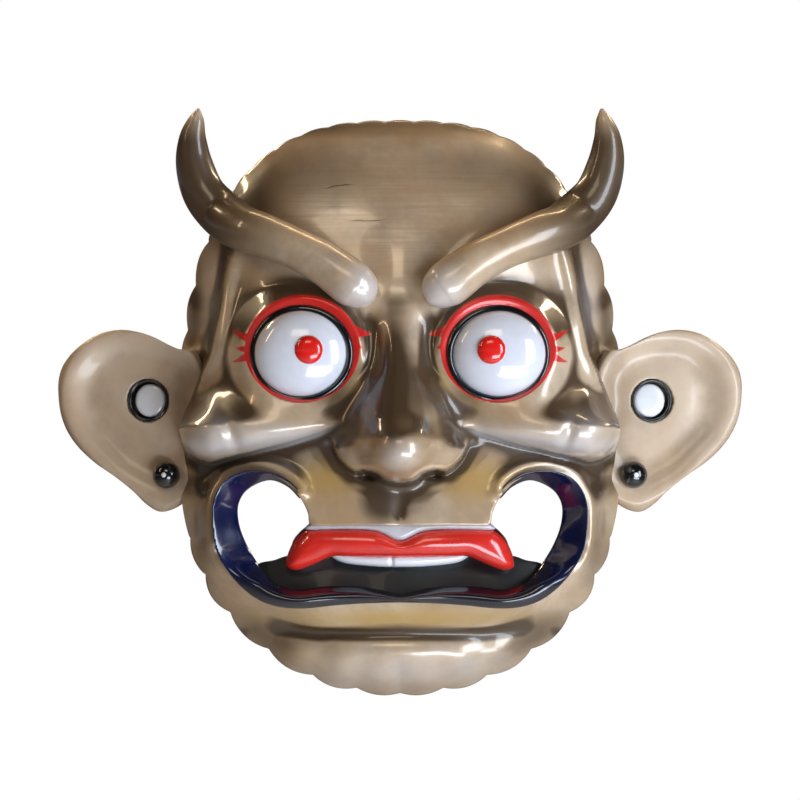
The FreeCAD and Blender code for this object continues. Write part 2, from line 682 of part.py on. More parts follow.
document.recompute()
nodes = ["mask_shell", "lower_lip", "upper_lip", "upper_teeth", "lip_band", "inner_mouth"]
for pair in ("horn", "ear", "eyeball", "eye_ring", "pupil", "ear_ring", "ear_disc", "lobe_stud", "stud_dot"):
    nodes += [pair + "_left", pair + "_right"]
os.makedirs("parts", exist_ok=True)
for item in document.Objects:
    if "Invalid" in item.State or "Error" in item.State:
        raise RuntimeError("object in error: " + item.Label)
for node in nodes:
    shape = document.getObject(node).Shape
    if open_edges(shape):
        print("open mesh:", node, open_edges(shape))
    if shape.isNull() or not shape.isValid():
        raise RuntimeError("bad shape: " + node)
    shape.exportStep("parts/%s.step" % node)
    print(node, len(shape.Solids), round(shape.Volume), true_box(shape))
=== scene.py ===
import math

import bpy
import numpy as np
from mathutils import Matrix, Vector


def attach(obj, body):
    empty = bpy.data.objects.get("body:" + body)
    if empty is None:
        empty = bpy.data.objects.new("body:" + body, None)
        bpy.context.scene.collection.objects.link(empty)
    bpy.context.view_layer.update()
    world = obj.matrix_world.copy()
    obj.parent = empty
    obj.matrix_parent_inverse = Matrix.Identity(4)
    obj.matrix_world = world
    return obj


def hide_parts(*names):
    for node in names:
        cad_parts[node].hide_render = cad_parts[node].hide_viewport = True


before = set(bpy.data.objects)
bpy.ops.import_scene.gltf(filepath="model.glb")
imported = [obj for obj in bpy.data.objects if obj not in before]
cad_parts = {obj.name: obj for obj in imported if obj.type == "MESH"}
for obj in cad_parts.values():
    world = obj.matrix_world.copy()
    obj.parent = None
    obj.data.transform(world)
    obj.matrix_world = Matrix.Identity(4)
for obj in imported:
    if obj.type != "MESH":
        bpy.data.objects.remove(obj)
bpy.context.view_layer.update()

print("frame loaded:", len(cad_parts), "nodes")

mm = 0.001          # shapes are worked out in millimetres and stored in metres

head = {"halfWidth": 81.4, "middle": -20.0, "riseAbove": 125.5, "riseBelow": 86.0,
        "powerAbove": 2.75, "powerBelow": 2.1, "rimHeight": 14.0}
eyes = {"x": 35.8, "z": 19.0, "white": (17.2, 15.8), "ring": (18.9, 17.9), "bulge": 8.6, "seat": 52.4,
        "pupil": (33.2, 20.4), "pupilRadius": 5.25}


# small shape functions, all on whole arrays

def smoothStep(start, end, value):          # 0 before start, 1 after end, an S curve between
    share = np.clip((value - start) / (end - start), 0, 1)
    return share * share * (3 - 2 * share)


def softMax(first, second, softness):       # the larger of two heights with a rounded valley
    return (first + second + np.sqrt((first - second) ** 2 + softness ** 2)) / 2


def turned(x, z, centreX, centreZ, turn):   # coordinates about a centre, turned by degrees
    angle = math.radians(turn)
    return ((x - centreX) * math.cos(angle) + (z - centreZ) * math.sin(angle),
            (z - centreZ) * math.cos(angle) - (x - centreX) * math.sin(angle))


def bell(x, z, centreX, centreZ, reachX, reachZ, turn=0.0):     # e to the minus distance squared
    u, v = turned(x, z, centreX, centreZ, turn)
    return np.exp(-(u / reachX) ** 2 - (v / reachZ) ** 2)


def roundCap(share):                        # square root dome that goes on falling past its edge
    return np.where(share < 0.94, np.sqrt(np.clip(1 - share, 0, None)), 0.245 - (share - 0.94) * 2.0)


def mound(x, z, centreX, centreZ, reachX, reachZ, low, high, turn=0.0, power=2.0):
    u, v = turned(x, z, centreX, centreZ, turn)     # a superellipse dome between two heights
    return low + (high - low) * roundCap(np.abs(u / reachX) ** power + np.abs(v / reachZ) ** power)


def through(places, values, where):         # cubic curve through given values, level at both ends
    p, v = np.array(places, float), np.array(values, float)
    slope = np.zeros(len(p))
    slope[1:-1] = (v[2:] - v[:-2]) / (p[2:] - p[:-2])
    w = np.clip(where, p[0], p[-1])
    k = np.clip(np.searchsorted(p, w, side="right") - 1, 0, len(p) - 2)
    length = p[k + 1] - p[k]
    u = (w - p[k]) / length
    return (v[k] * (2 * u ** 3 - 3 * u ** 2 + 1) + slope[k] * length * (u ** 3 - 2 * u ** 2 + u)
            + v[k + 1] * (3 * u ** 2 - 2 * u ** 3) + slope[k + 1] * length * (u ** 3 - u ** 2))


def spans(a, b, c, d, perSpan):             # Catmull-Rom curve from b to c, for rows of four points
    t = np.linspace(0, 1, perSpan, endpoint=False)[None, :, None]
    a, b, c, d = (q[:, None, :] for q in (a, b, c, d))
    curve = 0.5 * (2 * b + (c - a) * t + (2 * a - 5 * b + 4 * c - d) * t ** 2 + (3 * b - a - 3 * c + d) * t ** 3)
    return curve.reshape(-1, a.shape[-1])


def closedCurve(points, perSpan=10):        # smooth curve round a loop of corner points
    p = np.array(points, float)
    return spans(np.roll(p, 1, 0), p, np.roll(p, -1, 0), np.roll(p, -2, 0), perSpan)


def openCurve(points, perSpan=12):          # the same through an open row of stations, any columns
    p = np.array(points, float)
    p = np.vstack([2 * p[0] - p[1], p, 2 * p[-1] - p[-2]])
    return np.vstack([spans(p[:-3], p[1:-2], p[2:-1], p[3:], perSpan), p[-2]])


def bothSides(points):                      # a right half loop, top to bottom, made whole
    return list(points) + [(-x, z) for x, z in reversed(points) if x > 0.01]


def toLoop(x, z, loop):                     # signed distance to a closed loop, inside positive, and the near point
    x, z = np.ravel(x), np.ravel(z)
    start, end = loop, np.roll(loop, -1, 0)
    span = end - start
    spanSquared = (span ** 2).sum(1) + 1e-12
    distance, nearX, nearZ, inside = (np.empty(len(x)) for _ in range(4))
    for low in range(0, len(x), 8000):
        px, pz = x[low:low + 8000, None], z[low:low + 8000, None]
        t = np.clip(((px - start[:, 0]) * span[:, 0] + (pz - start[:, 1]) * span[:, 1]) / spanSquared, 0, 1)
        qx, qz = start[:, 0] + t * span[:, 0], start[:, 1] + t * span[:, 1]
        gap = (px - qx) ** 2 + (pz - qz) ** 2
        best = gap.argmin(1)
        rows = np.arange(len(best))
        crosses = (start[:, 1] > pz) != (end[:, 1] > pz)
        drop = np.where(np.abs(span[:, 1]) < 1e-12, 1e-12, span[:, 1])
        meet = start[:, 0] + (pz - start[:, 1]) * span[:, 0] / drop
        odd = (crosses & (px < meet)).sum(1) % 2
        part = slice(low, low + 8000)
        distance[part] = np.sqrt(gap[rows, best])
        nearX[part], nearZ[part] = qx[rows, best], qz[rows, best]
        inside[part] = np.where(odd == 1, 1, -1)
    return distance * inside, nearX, nearZ


# the carved face: height forward of the back plane as a function of x and z

def outlineShare(x, z):                     # 0 mid-head, 1 on the plain outline: a superellipse
    rise = z - head["middle"]
    power = np.where(rise > 0, head["powerAbove"], head["powerBelow"])
    reach = np.where(rise > 0, head["riseAbove"], head["riseBelow"])
    return ((np.abs(x) / head["halfWidth"]) ** power + (np.abs(rise) / reach) ** power) ** (1 / power)


def shoulder(share, bend=0.97):             # dome profile that goes on falling past the outline
    slope = -0.55 * (1 - bend ** 3) ** -0.45 * 3 * bend ** 2
    return np.where(share < bend, np.clip(1 - np.minimum(share, bend) ** 3, 0, 1) ** 0.55,
                    (1 - bend ** 3) ** 0.55 + slope * (share - bend))


def skull(x, z):
    crown = 47 + 4 * bell(x, z, 0, -30, 90, 50) - 4 * smoothStep(70, 105, z)
    return head["rimHeight"] + (crown - head["rimHeight"]) * shoulder(outlineShare(x, z))


lipLook = {
    "outer": [(36.4, -34.0), (37.6, -30.0), (42.6, -25.9), (48.5, -23.9), (56.4, -23.9), (63.2, -26.8),
              (67.3, -32.6), (68.4, -40.0), (67.0, -52.0), (61.6, -61.6), (54.0, -68.9), (46.0, -72.6), (36.0, -73.6),
              (24.0, -72.5), (12.0, -71.7), (0, -71.5)],
    "inner": [(36.4, -34.0), (41.2, -29.3), (48.0, -27.0), (55.6, -30.2), (59.2, -35.6), (59.2, -42.6),
              (56.6, -50.2), (52.4, -57.4), (49.6, -61.2), (45.6, -64.6), (38.0, -67.0), (31.0, -66.3), (24.0, -65.8),
              (15.0, -65.9), (8.0, -67.0), (0, -68.4)]}
foldEdge = ([-6, 1, 13, 20, 32, 45, 75], [80.3, 77.7, 72.9, 69.9, 67.3, 65.0, 60.0])


def sideFold(x, z, side):                   # the step down from the face to the side band and the ear's seat
    edge = through(*foldEdge, z)
    drop = through([-9, -3, 12, 22, 60, 80], [0, 8, 10, 6, 5, 0], z)
    ridge = 1.4 * bell(side, z, edge - 2.0, z, 2.6, 1) * smoothStep(-4, 10, z) * smoothStep(75, 55, z)
    return ridge - drop * smoothStep(-1.0, 1.8, side - edge)


def browShape(x, z, side):                  # glabella, brow shelf that meets the horns, and the eye hollows
    shelf = through([10, 20, 30, 45, 60], [36, 42, 50, 58.5, 66], side)
    height = 4.0 * np.exp(-((z - shelf) / 9) ** 2) * smoothStep(4, 14, side) * smoothStep(66, 46, side)
    height = height + 4.0 * bell(x, z, 0, 46, 11, 22)
    height = height - 2.5 * bell(side, z, 60, 42, 9, 9, 40)
    return height - 3.0 * bell(side, z, 17.5, 27, 5, 9)


def eyeMound(side, z, ground):              # a soft swelling levelled round the ring, and sunk under the eyeball
    height = ground + 8 * bell(side, z, 41, 17, 22, 22)
    share = np.hypot((side - eyes["x"]) / eyes["ring"][0], (z - eyes["z"]) / eyes["ring"][1])
    level = 53.6 - 0.12 * (side - eyes["x"]) - 0.05 * (z - eyes["z"])
    height = height + (level - height) * smoothStep(1.55, 1.02, share) * 0.9
    height = height + 1.4 * np.exp(-((share - 1.16) / 0.09) ** 2) * smoothStep(10, 24, z)
    return height - 6 * smoothStep(0.98, 0.88, share)


def cheekOn(side, z, ground):               # a roll: a bell above its crest, round and crisp below, a ball at its end
    ball = np.sqrt(np.clip(1 - (np.clip(side - 67.6, 0, None) / 13.4) ** 2, 0.0004, 1))
    crest = through([14, 22, 30, 40, 52, 62, 68, 76], [49, 52.5, 56, 58.6, 59.4, 58.6, 57.5, 56], side)
    centre = through([16, 24, 36, 52, 64, 80], [-3.5, -5.5, -7.2, -8.4, -8.2, -8.0], side)
    lower = through([18, 22, 32, 42, 50, 57, 64, 70],
                    [-10.4, -11.0, -12.4, -14.8, -16.5, -18.0, -19.2, -20.2], side)
    low = crest - 17
    crest = low + (crest - low) * ball
    reachDown = (centre - lower) * ball
    reachUp = through([20, 40, 56, 66, 76], [12, 14, 13, 10.5, 9], side) * ball
    top = softMax(ground, crest, 2.2)
    above = ground + (top - ground) * np.exp(-((z - centre) / reachUp) ** 2)
    below = softMax(ground, low + (crest - low) * roundCap(((z - centre) / reachDown) ** 2), 2.2)
    height = np.where(z > centre, above, below)
    height = ground + (height - ground) * smoothStep(12, 24, side) * (side < 81.0)
    return height - 1.6 * bell(side, z, 61.0, -11, 2.4, 8, -20)


def noseOn(x, z, side, ground):             # a wedge with a broad ridge and spreading flanks, a ball tip and wings
    ridge = through([-48, -34, -27, -20, -13, -4, 8, 20, 32, 46], [48, 56, 70, 80.5, 81, 76, 68.5, 61, 55, 50], z)
    width = through([-34, -24, -16, -8, 0, 8, 15, 30, 44], [14, 18.5, 19.5, 18.5, 16.5, 13.0, 10.0, 9.0, 9.5], z)
    wedge = np.clip(ridge - ground, 0, None) * np.exp(-np.abs(side / width) ** 2.5)
    tip = mound(x, z, 0, -15.0, 13.5, 13.0, 58, 82.5) - ground
    wing = mound(side, z, 16.4, -17.2, 7.4, 6.8, 52, 66.5) - ground
    stand = softMax(softMax(wedge, tip, 4.5), wing, 5.5) - 0.6
    stand = np.clip(stand, 0, None) * smoothStep(34, 24, side) * smoothStep(50, 36, z)
    base = through([0, 5, 8.5, 13, 17, 22, 26], [-27.6, -26.8, -24.8, -23.8, -23.6, -19.0, -13.0], side)
    under = 0.22 * np.clip(1 - (base - z) / 4.5, 0, 1) ** 1.3 * smoothStep(16, 8, side)
    return stand * (under + (1 - under) * smoothStep(-2.0, 1.6, z - base))


def rimWave(x, z):                          # -1 to 1 along the scalloped edge, by angle about the head's middle
    angle = np.arctan2(np.abs(x), z - head["middle"])
    wave, swell = inFold(np.interp(angle, *outlineRun(3000)))
    return swell * (0.4 - np.cos(2 * math.pi * wave))


def faceHeight(x, z):
    side = np.abs(x)
    share = outlineShare(x, z)
    height = skull(x, z) + browShape(x, z, side) + sideFold(x, z, side)
    fluted = 0.12 + 0.5 * smoothStep(60, 30, z)
    height = height + fluted * rimWave(x, z) * smoothStep(0.80 + 0.10 * smoothStep(0, 60, z), 0.98, share)
    height = eyeMound(side, z, height)
    height = cheekOn(side, z, height)
    muzzle = mound(side, z, 0, -46, 71.5, 37.5, 37, 54.5, 0, 2.4)
    height = softMax(height, muzzle, 2.0)
    rim, _, _ = toLoop(x, z, lipOuterLoop)
    beyond = -rim.reshape(np.shape(x))
    roll = np.exp(-((beyond - 2.6) / 2.4) ** 2) * (1 - smoothStep(38, 30, side) * smoothStep(-52, -46, z))
    height = height + 2.4 * roll * smoothStep(-66, -50, z)
    gap = np.abs(toLoop(x, z, jawCrease)[0]).reshape(np.shape(x))
    height = height - 2.3 * np.exp(-(gap / 4.6) ** 2)
    height = height + 8.5 * np.exp(-((x / 52) ** 2 + ((z + 96) / 12.5) ** 2) ** 1.4)
    height = height + noseOn(x, z, side, height)
    height = height - 6 * bell(side, z, 11.6, -24.6, 4.2, 1.7, 8)
    height = height - 1.2 * bell(x, z, 0, -38, 3.2, 7)
    return height + 0.5 * np.exp(-((z + 43) / 2.2) ** 2) * smoothStep(33, 30, side)


def hollowHeight(x, z):                     # the smooth inside of the mask
    share = outlineShare(x, z) / 0.9
    return 2 + 35 * shoulder(share) + 14 * bell(x, z, 0, -12, 15, 24)


def outlinePoints(angles, swell):           # points of the head outline, moved out by swell
    across, up = np.sin(angles), np.cos(angles)
    reach = 1 / outlineShare(across, head["middle"] + up) + swell
    return np.stack([reach * across, head["middle"] + reach * up], 1)


def foldTable():                            # where each fold of the edge starts and ends, and how far it swells
    folds = [(5.35, 0.4)] + [(10.7, 0.4)] * 8 + [(17, 1.2)] * 3 + [(20, 0.1)] * 3
    folds += [(15, 1.0), (17, 1.6), (20, 1.6), (19, 1.3), (17, 1.2), (18, 1.2)]
    ends = np.cumsum([length for length, swell in folds])
    return ends, np.concatenate([[-5.35], ends[:-1]]), np.array([swell for length, swell in folds])


def outlineRun(count):                      # angles from crown to chin, and the length of outline up to each
    angles = np.linspace(0, math.pi, count)
    return angles, np.concatenate([[0], np.cumsum(np.hypot(*np.diff(outlinePoints(angles, 0), axis=0).T))])


def inFold(along):                          # how far through its fold a place on the outline is, and its swell
    ends, starts, swells = foldTable()
    slot = np.clip(np.searchsorted(ends, along), 0, len(ends) - 1)
    return np.clip((along - starts[slot]) / (ends[slot] - starts[slot]), 0, 1), swells[slot]


def scalloped():                            # half sine waves along the outline, with sharp notches between
    angles, run = outlineRun(6000)
    along = np.arange(0, run[-1], 0.7)
    wave, swell = inFold(along)
    right = outlinePoints(np.interp(along, run, angles), swell * (1.6 * np.sin(math.pi * wave) ** 0.8 - 0.6))
    left = right[1:][::-1] * [-1, 1]
    return np.vstack([right, left])


# mesh building

def cutSheet(outer, holes, spacing):
    # a square net trimmed by loops: cells whose middle is inside stay, and edge points move onto the loop
    low, high = outer.min(0) - spacing, outer.max(0) + spacing
    count = np.ceil((high - low) / spacing).astype(int) + 1
    gridX, gridZ = np.meshgrid(low[0] + spacing * np.arange(count[0]), low[1] + spacing * np.arange(count[1]),
                               indexing="ij")
    midX, midZ = (gridX[:-1, :-1] + spacing / 2).ravel(), (gridZ[:-1, :-1] + spacing / 2).ravel()
    keep = toLoop(midX, midZ, outer)[0] > 0
    for hole in holes:
        keep &= toLoop(midX, midZ, hole)[0] < 0
    index = np.arange(gridX.size).reshape(gridX.shape)
    quads = np.stack([index[:-1, :-1], index[1:, :-1], index[1:, 1:], index[:-1, 1:]], -1).reshape(-1, 4)[keep]
    used, quads = np.unique(quads, return_inverse=True)
    quads = quads.reshape(-1, 4)
    x, z = gridX.ravel()[used], gridZ.ravel()[used]
    start, end = quads.ravel(), np.roll(quads, -1, 1).ravel()
    lone = ~np.isin(start * len(x) + end, end * len(x) + start)
    edges = np.stack([start[lone], end[lone]], 1)
    rim = np.unique(edges)
    loops = [outer] + list(holes)
    found = [toLoop(x[rim], z[rim], loop) for loop in loops]
    nearest = np.argmin([np.abs(f[0]) for f in found], 0)
    for number, (distance, nearX, nearZ) in enumerate(found):
        mine = rim[nearest == number]
        x[mine], z[mine] = nearX[nearest == number], nearZ[nearest == number]
    out = np.zeros((len(x), 2))
    step = np.stack([z[edges[:, 1]] - z[edges[:, 0]], x[edges[:, 0]] - x[edges[:, 1]]], 1)
    np.add.at(out, edges[:, 0], step)
    np.add.at(out, edges[:, 1], step)
    out /= np.maximum(np.hypot(out[:, 0], out[:, 1]), 1e-9)[:, None]
    side = np.full(len(x), -1)
    side[rim] = nearest
    return {"x": x, "z": z, "quads": quads, "edges": edges, "rim": rim, "out": out, "loop": side}


def wallOn(points, faces, sheet, profiles):
    # carries the sheet's edge back along a profile of (outward, back) steps, one profile for each loop
    for number, profile in profiles.items():
        edges = sheet["edges"][(sheet["loop"][sheet["edges"]] == number).all(1)]
        ring = np.unique(edges)
        if not len(ring):
            continue
        previous = np.arange(len(sheet["x"]))
        base = points[ring]
        for outward, back in profile:
            fresh = base.copy()
            fresh[:, 0] += sheet["out"][ring, 0] * outward
            fresh[:, 2] += sheet["out"][ring, 1] * outward
            fresh[:, 1] = back(base) if callable(back) else base[:, 1] + back
            place = np.full(len(sheet["x"]), -1)
            place[ring] = len(points) + np.arange(len(ring))
            points = np.vstack([points, fresh])
            a, b = edges[:, 0], edges[:, 1]
            faces = np.vstack([faces, np.stack([previous[b], previous[a], place[a], place[b]], 1)])
            previous = place
    return points, faces


def addPiece(name, points, faces, material, nodes=(), triangles=(), values=None):
    mesh = bpy.data.meshes.new(name)
    mesh.from_pydata((points * mm).tolist(), [], np.asarray(faces).tolist() + np.asarray(triangles).tolist())
    mesh.polygons.foreach_set("use_smooth", np.ones(len(mesh.polygons), bool))
    for key, numbers in (values or {}).items():
        full = np.zeros(len(points))
        full[:len(numbers)] = numbers
        mesh.attributes.new(key, "FLOAT", "POINT").data.foreach_set("value", full.astype(np.float32))
    mesh.validate()
    mesh.update()
    piece = bpy.data.objects.new(name, mesh)
    bpy.context.scene.collection.objects.link(piece)
    mesh.materials.append(material)
    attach(piece, "root")
    if nodes:
        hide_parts(*nodes)
    return piece


def plate(name, loop, front, back, spacing, edge, material, nodes=(), holes=(), values=None):
    # closed plate between two height functions, its edge rounded by a profile of (outward, share of the way back)
    sheet = cutSheet(loop, list(holes), spacing)
    x, z = sheet["x"], sheet["z"]
    top, bottom = front(x, z), back(x, z)
    points = np.stack([x, -top, z], 1)
    faces = sheet["quads"]
    ring = sheet["rim"]
    previous = np.arange(len(x))
    a, b = sheet["edges"][:, 0], sheet["edges"][:, 1]
    for outward, share in edge:
        fresh = points[ring].copy()
        fresh[:, 0] += sheet["out"][ring, 0] * outward
        fresh[:, 2] += sheet["out"][ring, 1] * outward
        fresh[:, 1] = -(top[ring] + (bottom[ring] - top[ring]) * share)
        place = np.full(len(x), -1)
        place[ring] = len(points) + np.arange(len(ring))
        points = np.vstack([points, fresh])
        faces = np.vstack([faces, np.stack([previous[b], previous[a], place[a], place[b]], 1)])
        previous = place
    rear = np.stack([x, -bottom, z], 1)
    offset = len(points)
    points = np.vstack([points, rear])
    faces = np.vstack([faces, np.stack([previous[b], previous[a], a + offset, b + offset], 1),
                       (sheet["quads"] + offset)[:, ::-1]])
    extra = {}
    for key, numbers in (values(x, z) if values else {}).items():
        extra[key] = np.concatenate([numbers, np.zeros(offset - len(x)), numbers])
    return addPiece(name, points, faces, material, nodes, values=extra)


def tube(name, stations, material, nodes=(), around=40, perSpan=10, values=None):
    # round sections along a smooth line of (x, z, height, radius), closed by a point at each end
    line = openCurve(stations, perSpan)
    centre = np.stack([line[:, 0], -line[:, 2], line[:, 1]], 1)
    radius = np.clip(line[:, 3], 0.02, None)
    along = np.gradient(centre, axis=0)
    along /= np.linalg.norm(along, axis=1)[:, None]
    forward = np.array([0.0, -1.0, 0.0])
    across = np.cross(along, forward)
    across /= np.linalg.norm(across, axis=1)[:, None]
    front = np.cross(across, along)
    angle = np.linspace(0, 2 * math.pi, around, endpoint=False)
    cosine, sine = np.cos(angle)[None, :, None], np.sin(angle)[None, :, None]
    ring = centre[:, None] + radius[:, None, None] * (front[:, None] * cosine + across[:, None] * sine)
    rows = len(centre)
    points = np.vstack([ring.reshape(-1, 3), centre[0] - along[0] * radius[0] * 0.4,
                        centre[-1] + along[-1] * radius[-1] * 0.4])
    index = np.arange(rows * around).reshape(rows, around)
    turn = np.roll(index, -1, 1)
    faces = np.stack([index[:-1], turn[:-1], turn[1:], index[1:]], -1).reshape(-1, 4)
    tip, tail = rows * around, rows * around + 1
    ends = np.vstack([np.stack([turn[0], index[0], np.full(around, tip)], 1),
                      np.stack([index[-1], turn[-1], np.full(around, tail)], 1)])
    extra = {key: np.concatenate([np.repeat(run(line), around), [0, 0]]) for key, run in (values or {}).items()}
    piece = addPiece(name, points, faces, material, nodes, ends, extra)
    return faceOut(piece)


def faceOut(piece):                         # turns a closed skin so that it faces outwards
    mesh = piece.data
    count = len(mesh.vertices)
    spots = np.empty(count * 3)
    mesh.vertices.foreach_get("co", spots)
    spots = spots.reshape(-1, 3)
    mesh.calc_loop_triangles()
    corners = np.empty(len(mesh.loop_triangles) * 3, int)
    mesh.loop_triangles.foreach_get("vertices", corners)
    a, b, c = (spots[corners.reshape(-1, 3)[:, k]] for k in range(3))
    if (a * np.cross(b, c)).sum() < 0:
        mesh.flip_normals()
    return piece


def lathe(name, profile, centre, look, material, nodes=(), stretch=(1.0, 1.0), around=64):
    # a profile of (radius, forward) points turned about an axis that looks forward, stretched to an oval
    p = np.array(profile, float)
    angle = np.linspace(0, 2 * math.pi, around, endpoint=False)
    look = np.array(look, float) / np.linalg.norm(look)
    side = np.cross(look, [0, 0, 1.0])
    side /= np.linalg.norm(side)
    up = np.cross(side, look)
    ring = (np.array(centre)[None, None] + p[:, None, 1:2] * look
            + p[:, None, 0:1] * (np.cos(angle)[None, :, None] * side * stretch[0]
                                 + np.sin(angle)[None, :, None] * up * stretch[1]))
    rows = len(p)
    points = ring.reshape(-1, 3)
    index = np.arange(rows * around).reshape(rows, around)
    turn = np.roll(index, -1, 1)
    faces = np.stack([index[:-1], turn[:-1], turn[1:], index[1:]], -1).reshape(-1, 4)
    triangles = []
    closed = np.allclose(p[0], p[-1])
    if closed:
        faces[faces >= (rows - 1) * around] -= (rows - 1) * around
        points = points[:(rows - 1) * around]
    else:
        points = np.vstack([points, np.array(centre) + look * p[0, 1], np.array(centre) + look * p[-1, 1]])
        first, last = rows * around, rows * around + 1
        triangles = np.vstack([np.stack([turn[0], index[0], np.full(around, first)], 1),
                               np.stack([index[-1], turn[-1], np.full(around, last)], 1)])
    return faceOut(addPiece(name, points, faces, material, nodes, triangles))


# shader maths

class Wire:                                 # one socket, so that shader maths reads as an expression
    def __init__(self, tree, end):
        self.tree, self.end = tree, end

    def run(self, operation, *values, clamp=False):
        node = self.tree.nodes.new("ShaderNodeMath")
        node.operation, node.use_clamp = operation, clamp
        for socket, value in zip(node.inputs, values):
            if isinstance(value, Wire):
                self.tree.links.new(value.end, socket)
            else:
                socket.default_value = value
        return Wire(self.tree, node.outputs[0])

    def __add__(self, other): return self.run("ADD", self, other)
    def __radd__(self, other): return self.run("ADD", other, self)
    def __sub__(self, other): return self.run("SUBTRACT", self, other)
    def __rsub__(self, other): return self.run("SUBTRACT", other, self)
    def __mul__(self, other): return self.run("MULTIPLY", self, other)
    def __rmul__(self, other): return self.run("MULTIPLY", other, self)

    def clip(self): return self.run("ADD", self, 0.0, clamp=True)

    def size(self): return self.run("ABSOLUTE", self)

    def band(self, low, high):              # 0 below low, 1 above high, straight between
        return self.run("MULTIPLY", self - low, 1.0 / (high - low), clamp=True)


class Board:                                # the node tree of a material or of a world
    def __init__(self, name, kept=bpy.data.materials):
        self.owner = kept.new(name)
        self.owner.use_nodes = True
        self.tree = self.owner.node_tree
        self.tree.nodes.clear()
        self.place = self.node("ShaderNodeTexCoord", out="Object")

    def node(self, kind, settings=None, inputs=None, out=0):
        node = self.tree.nodes.new(kind)
        for key, value in (settings or {}).items():
            if key == "stops":
                for where, colour in value[1:-1]:
                    node.color_ramp.elements.new(where).color = colour
                for place in (0, -1):
                    node.color_ramp.elements[place].position = value[place][0]
                    node.color_ramp.elements[place].color = value[place][1]
            else:
                setattr(node, key, value)
        for key, value in (inputs or {}).items():
            if isinstance(value, Wire):
                self.tree.links.new(value.end, node.inputs[key])
            else:
                node.inputs[key].default_value = value
        return Wire(self.tree, node.outputs[out])

    def stretched(self, scale, turn=(0, 0, 0)):
        return self.node("ShaderNodeMapping", None, {"Vector": self.place, "Scale": scale, "Rotation": turn})

    def noise(self, scale, detail=4.0, rough=0.55, vector=None, warp=0.0):
        inputs = {"Vector": vector or self.place, "Scale": scale, "Detail": detail, "Roughness": rough,
                  "Distortion": warp}
        return self.node("ShaderNodeTexNoise", None, inputs, "Fac")

    def attribute(self, name):
        return self.node("ShaderNodeAttribute", {"attribute_name": name}, None, "Fac")

    def mix(self, share, first, second):
        node = self.tree.nodes.new("ShaderNodeMix")
        node.data_type = "RGBA"
        for socket, value in ((node.inputs[0], share), (node.inputs[6], first), (node.inputs[7], second)):
            if isinstance(value, Wire):
                self.tree.links.new(value.end, socket)
            else:
                socket.default_value = value if not isinstance(value, tuple) else (*value, 1.0)[:4]
        return Wire(self.tree, node.outputs[2])

    def finish(self, colour, roughness, coat=0.0, bumps=(), fixed=None):
        normal = None
        for height, strength, distance in bumps:
            inputs = {"Height": height, "Strength": strength, "Distance": distance}
            if normal:
                inputs["Normal"] = normal
            normal = self.node("ShaderNodeBump", None, inputs, "Normal")
        inputs = {"Base Color": colour if isinstance(colour, Wire) else (*colour, 1.0), "Roughness": roughness,
                  "Coat Weight": coat}
        if normal:
            inputs["Normal"] = normal
        inputs.update(fixed or {})
        shader = self.node("ShaderNodeBsdfPrincipled", None, inputs)
        self.output(shader)
        return self.owner

    def output(self, shader, kind="ShaderNodeOutputMaterial"):
        self.tree.links.new(shader.end, self.tree.nodes.new(kind).inputs["Surface"])


# pale is the bluish colour of the painted highlight, ochre that of the painted gold highlight; umber and brown are
# laid as stain and painted shade
lacquerLook = {"pale": (0.62, 0.61, 0.64), "cream": (0.60, 0.475, 0.345), "tan": (0.40, 0.265, 0.150),
               "grey": (0.29, 0.235, 0.19), "brown": (0.045, 0.024, 0.010), "ochre": (0.47, 0.29, 0.075),
               "liner": (0.60, 0.008, 0.006), "crack": (0.03, 0.016, 0.009), "peach": (0.74, 0.55, 0.40),
               "umber": (0.19, 0.118, 0.06),
               "cracks": [(-0.0302, -0.0156, 0.0796, 0.15), (-0.0206, -0.0049, 0.0678, -0.03)]}
# a crack is its first x, its last x, its z and its slope, in metres


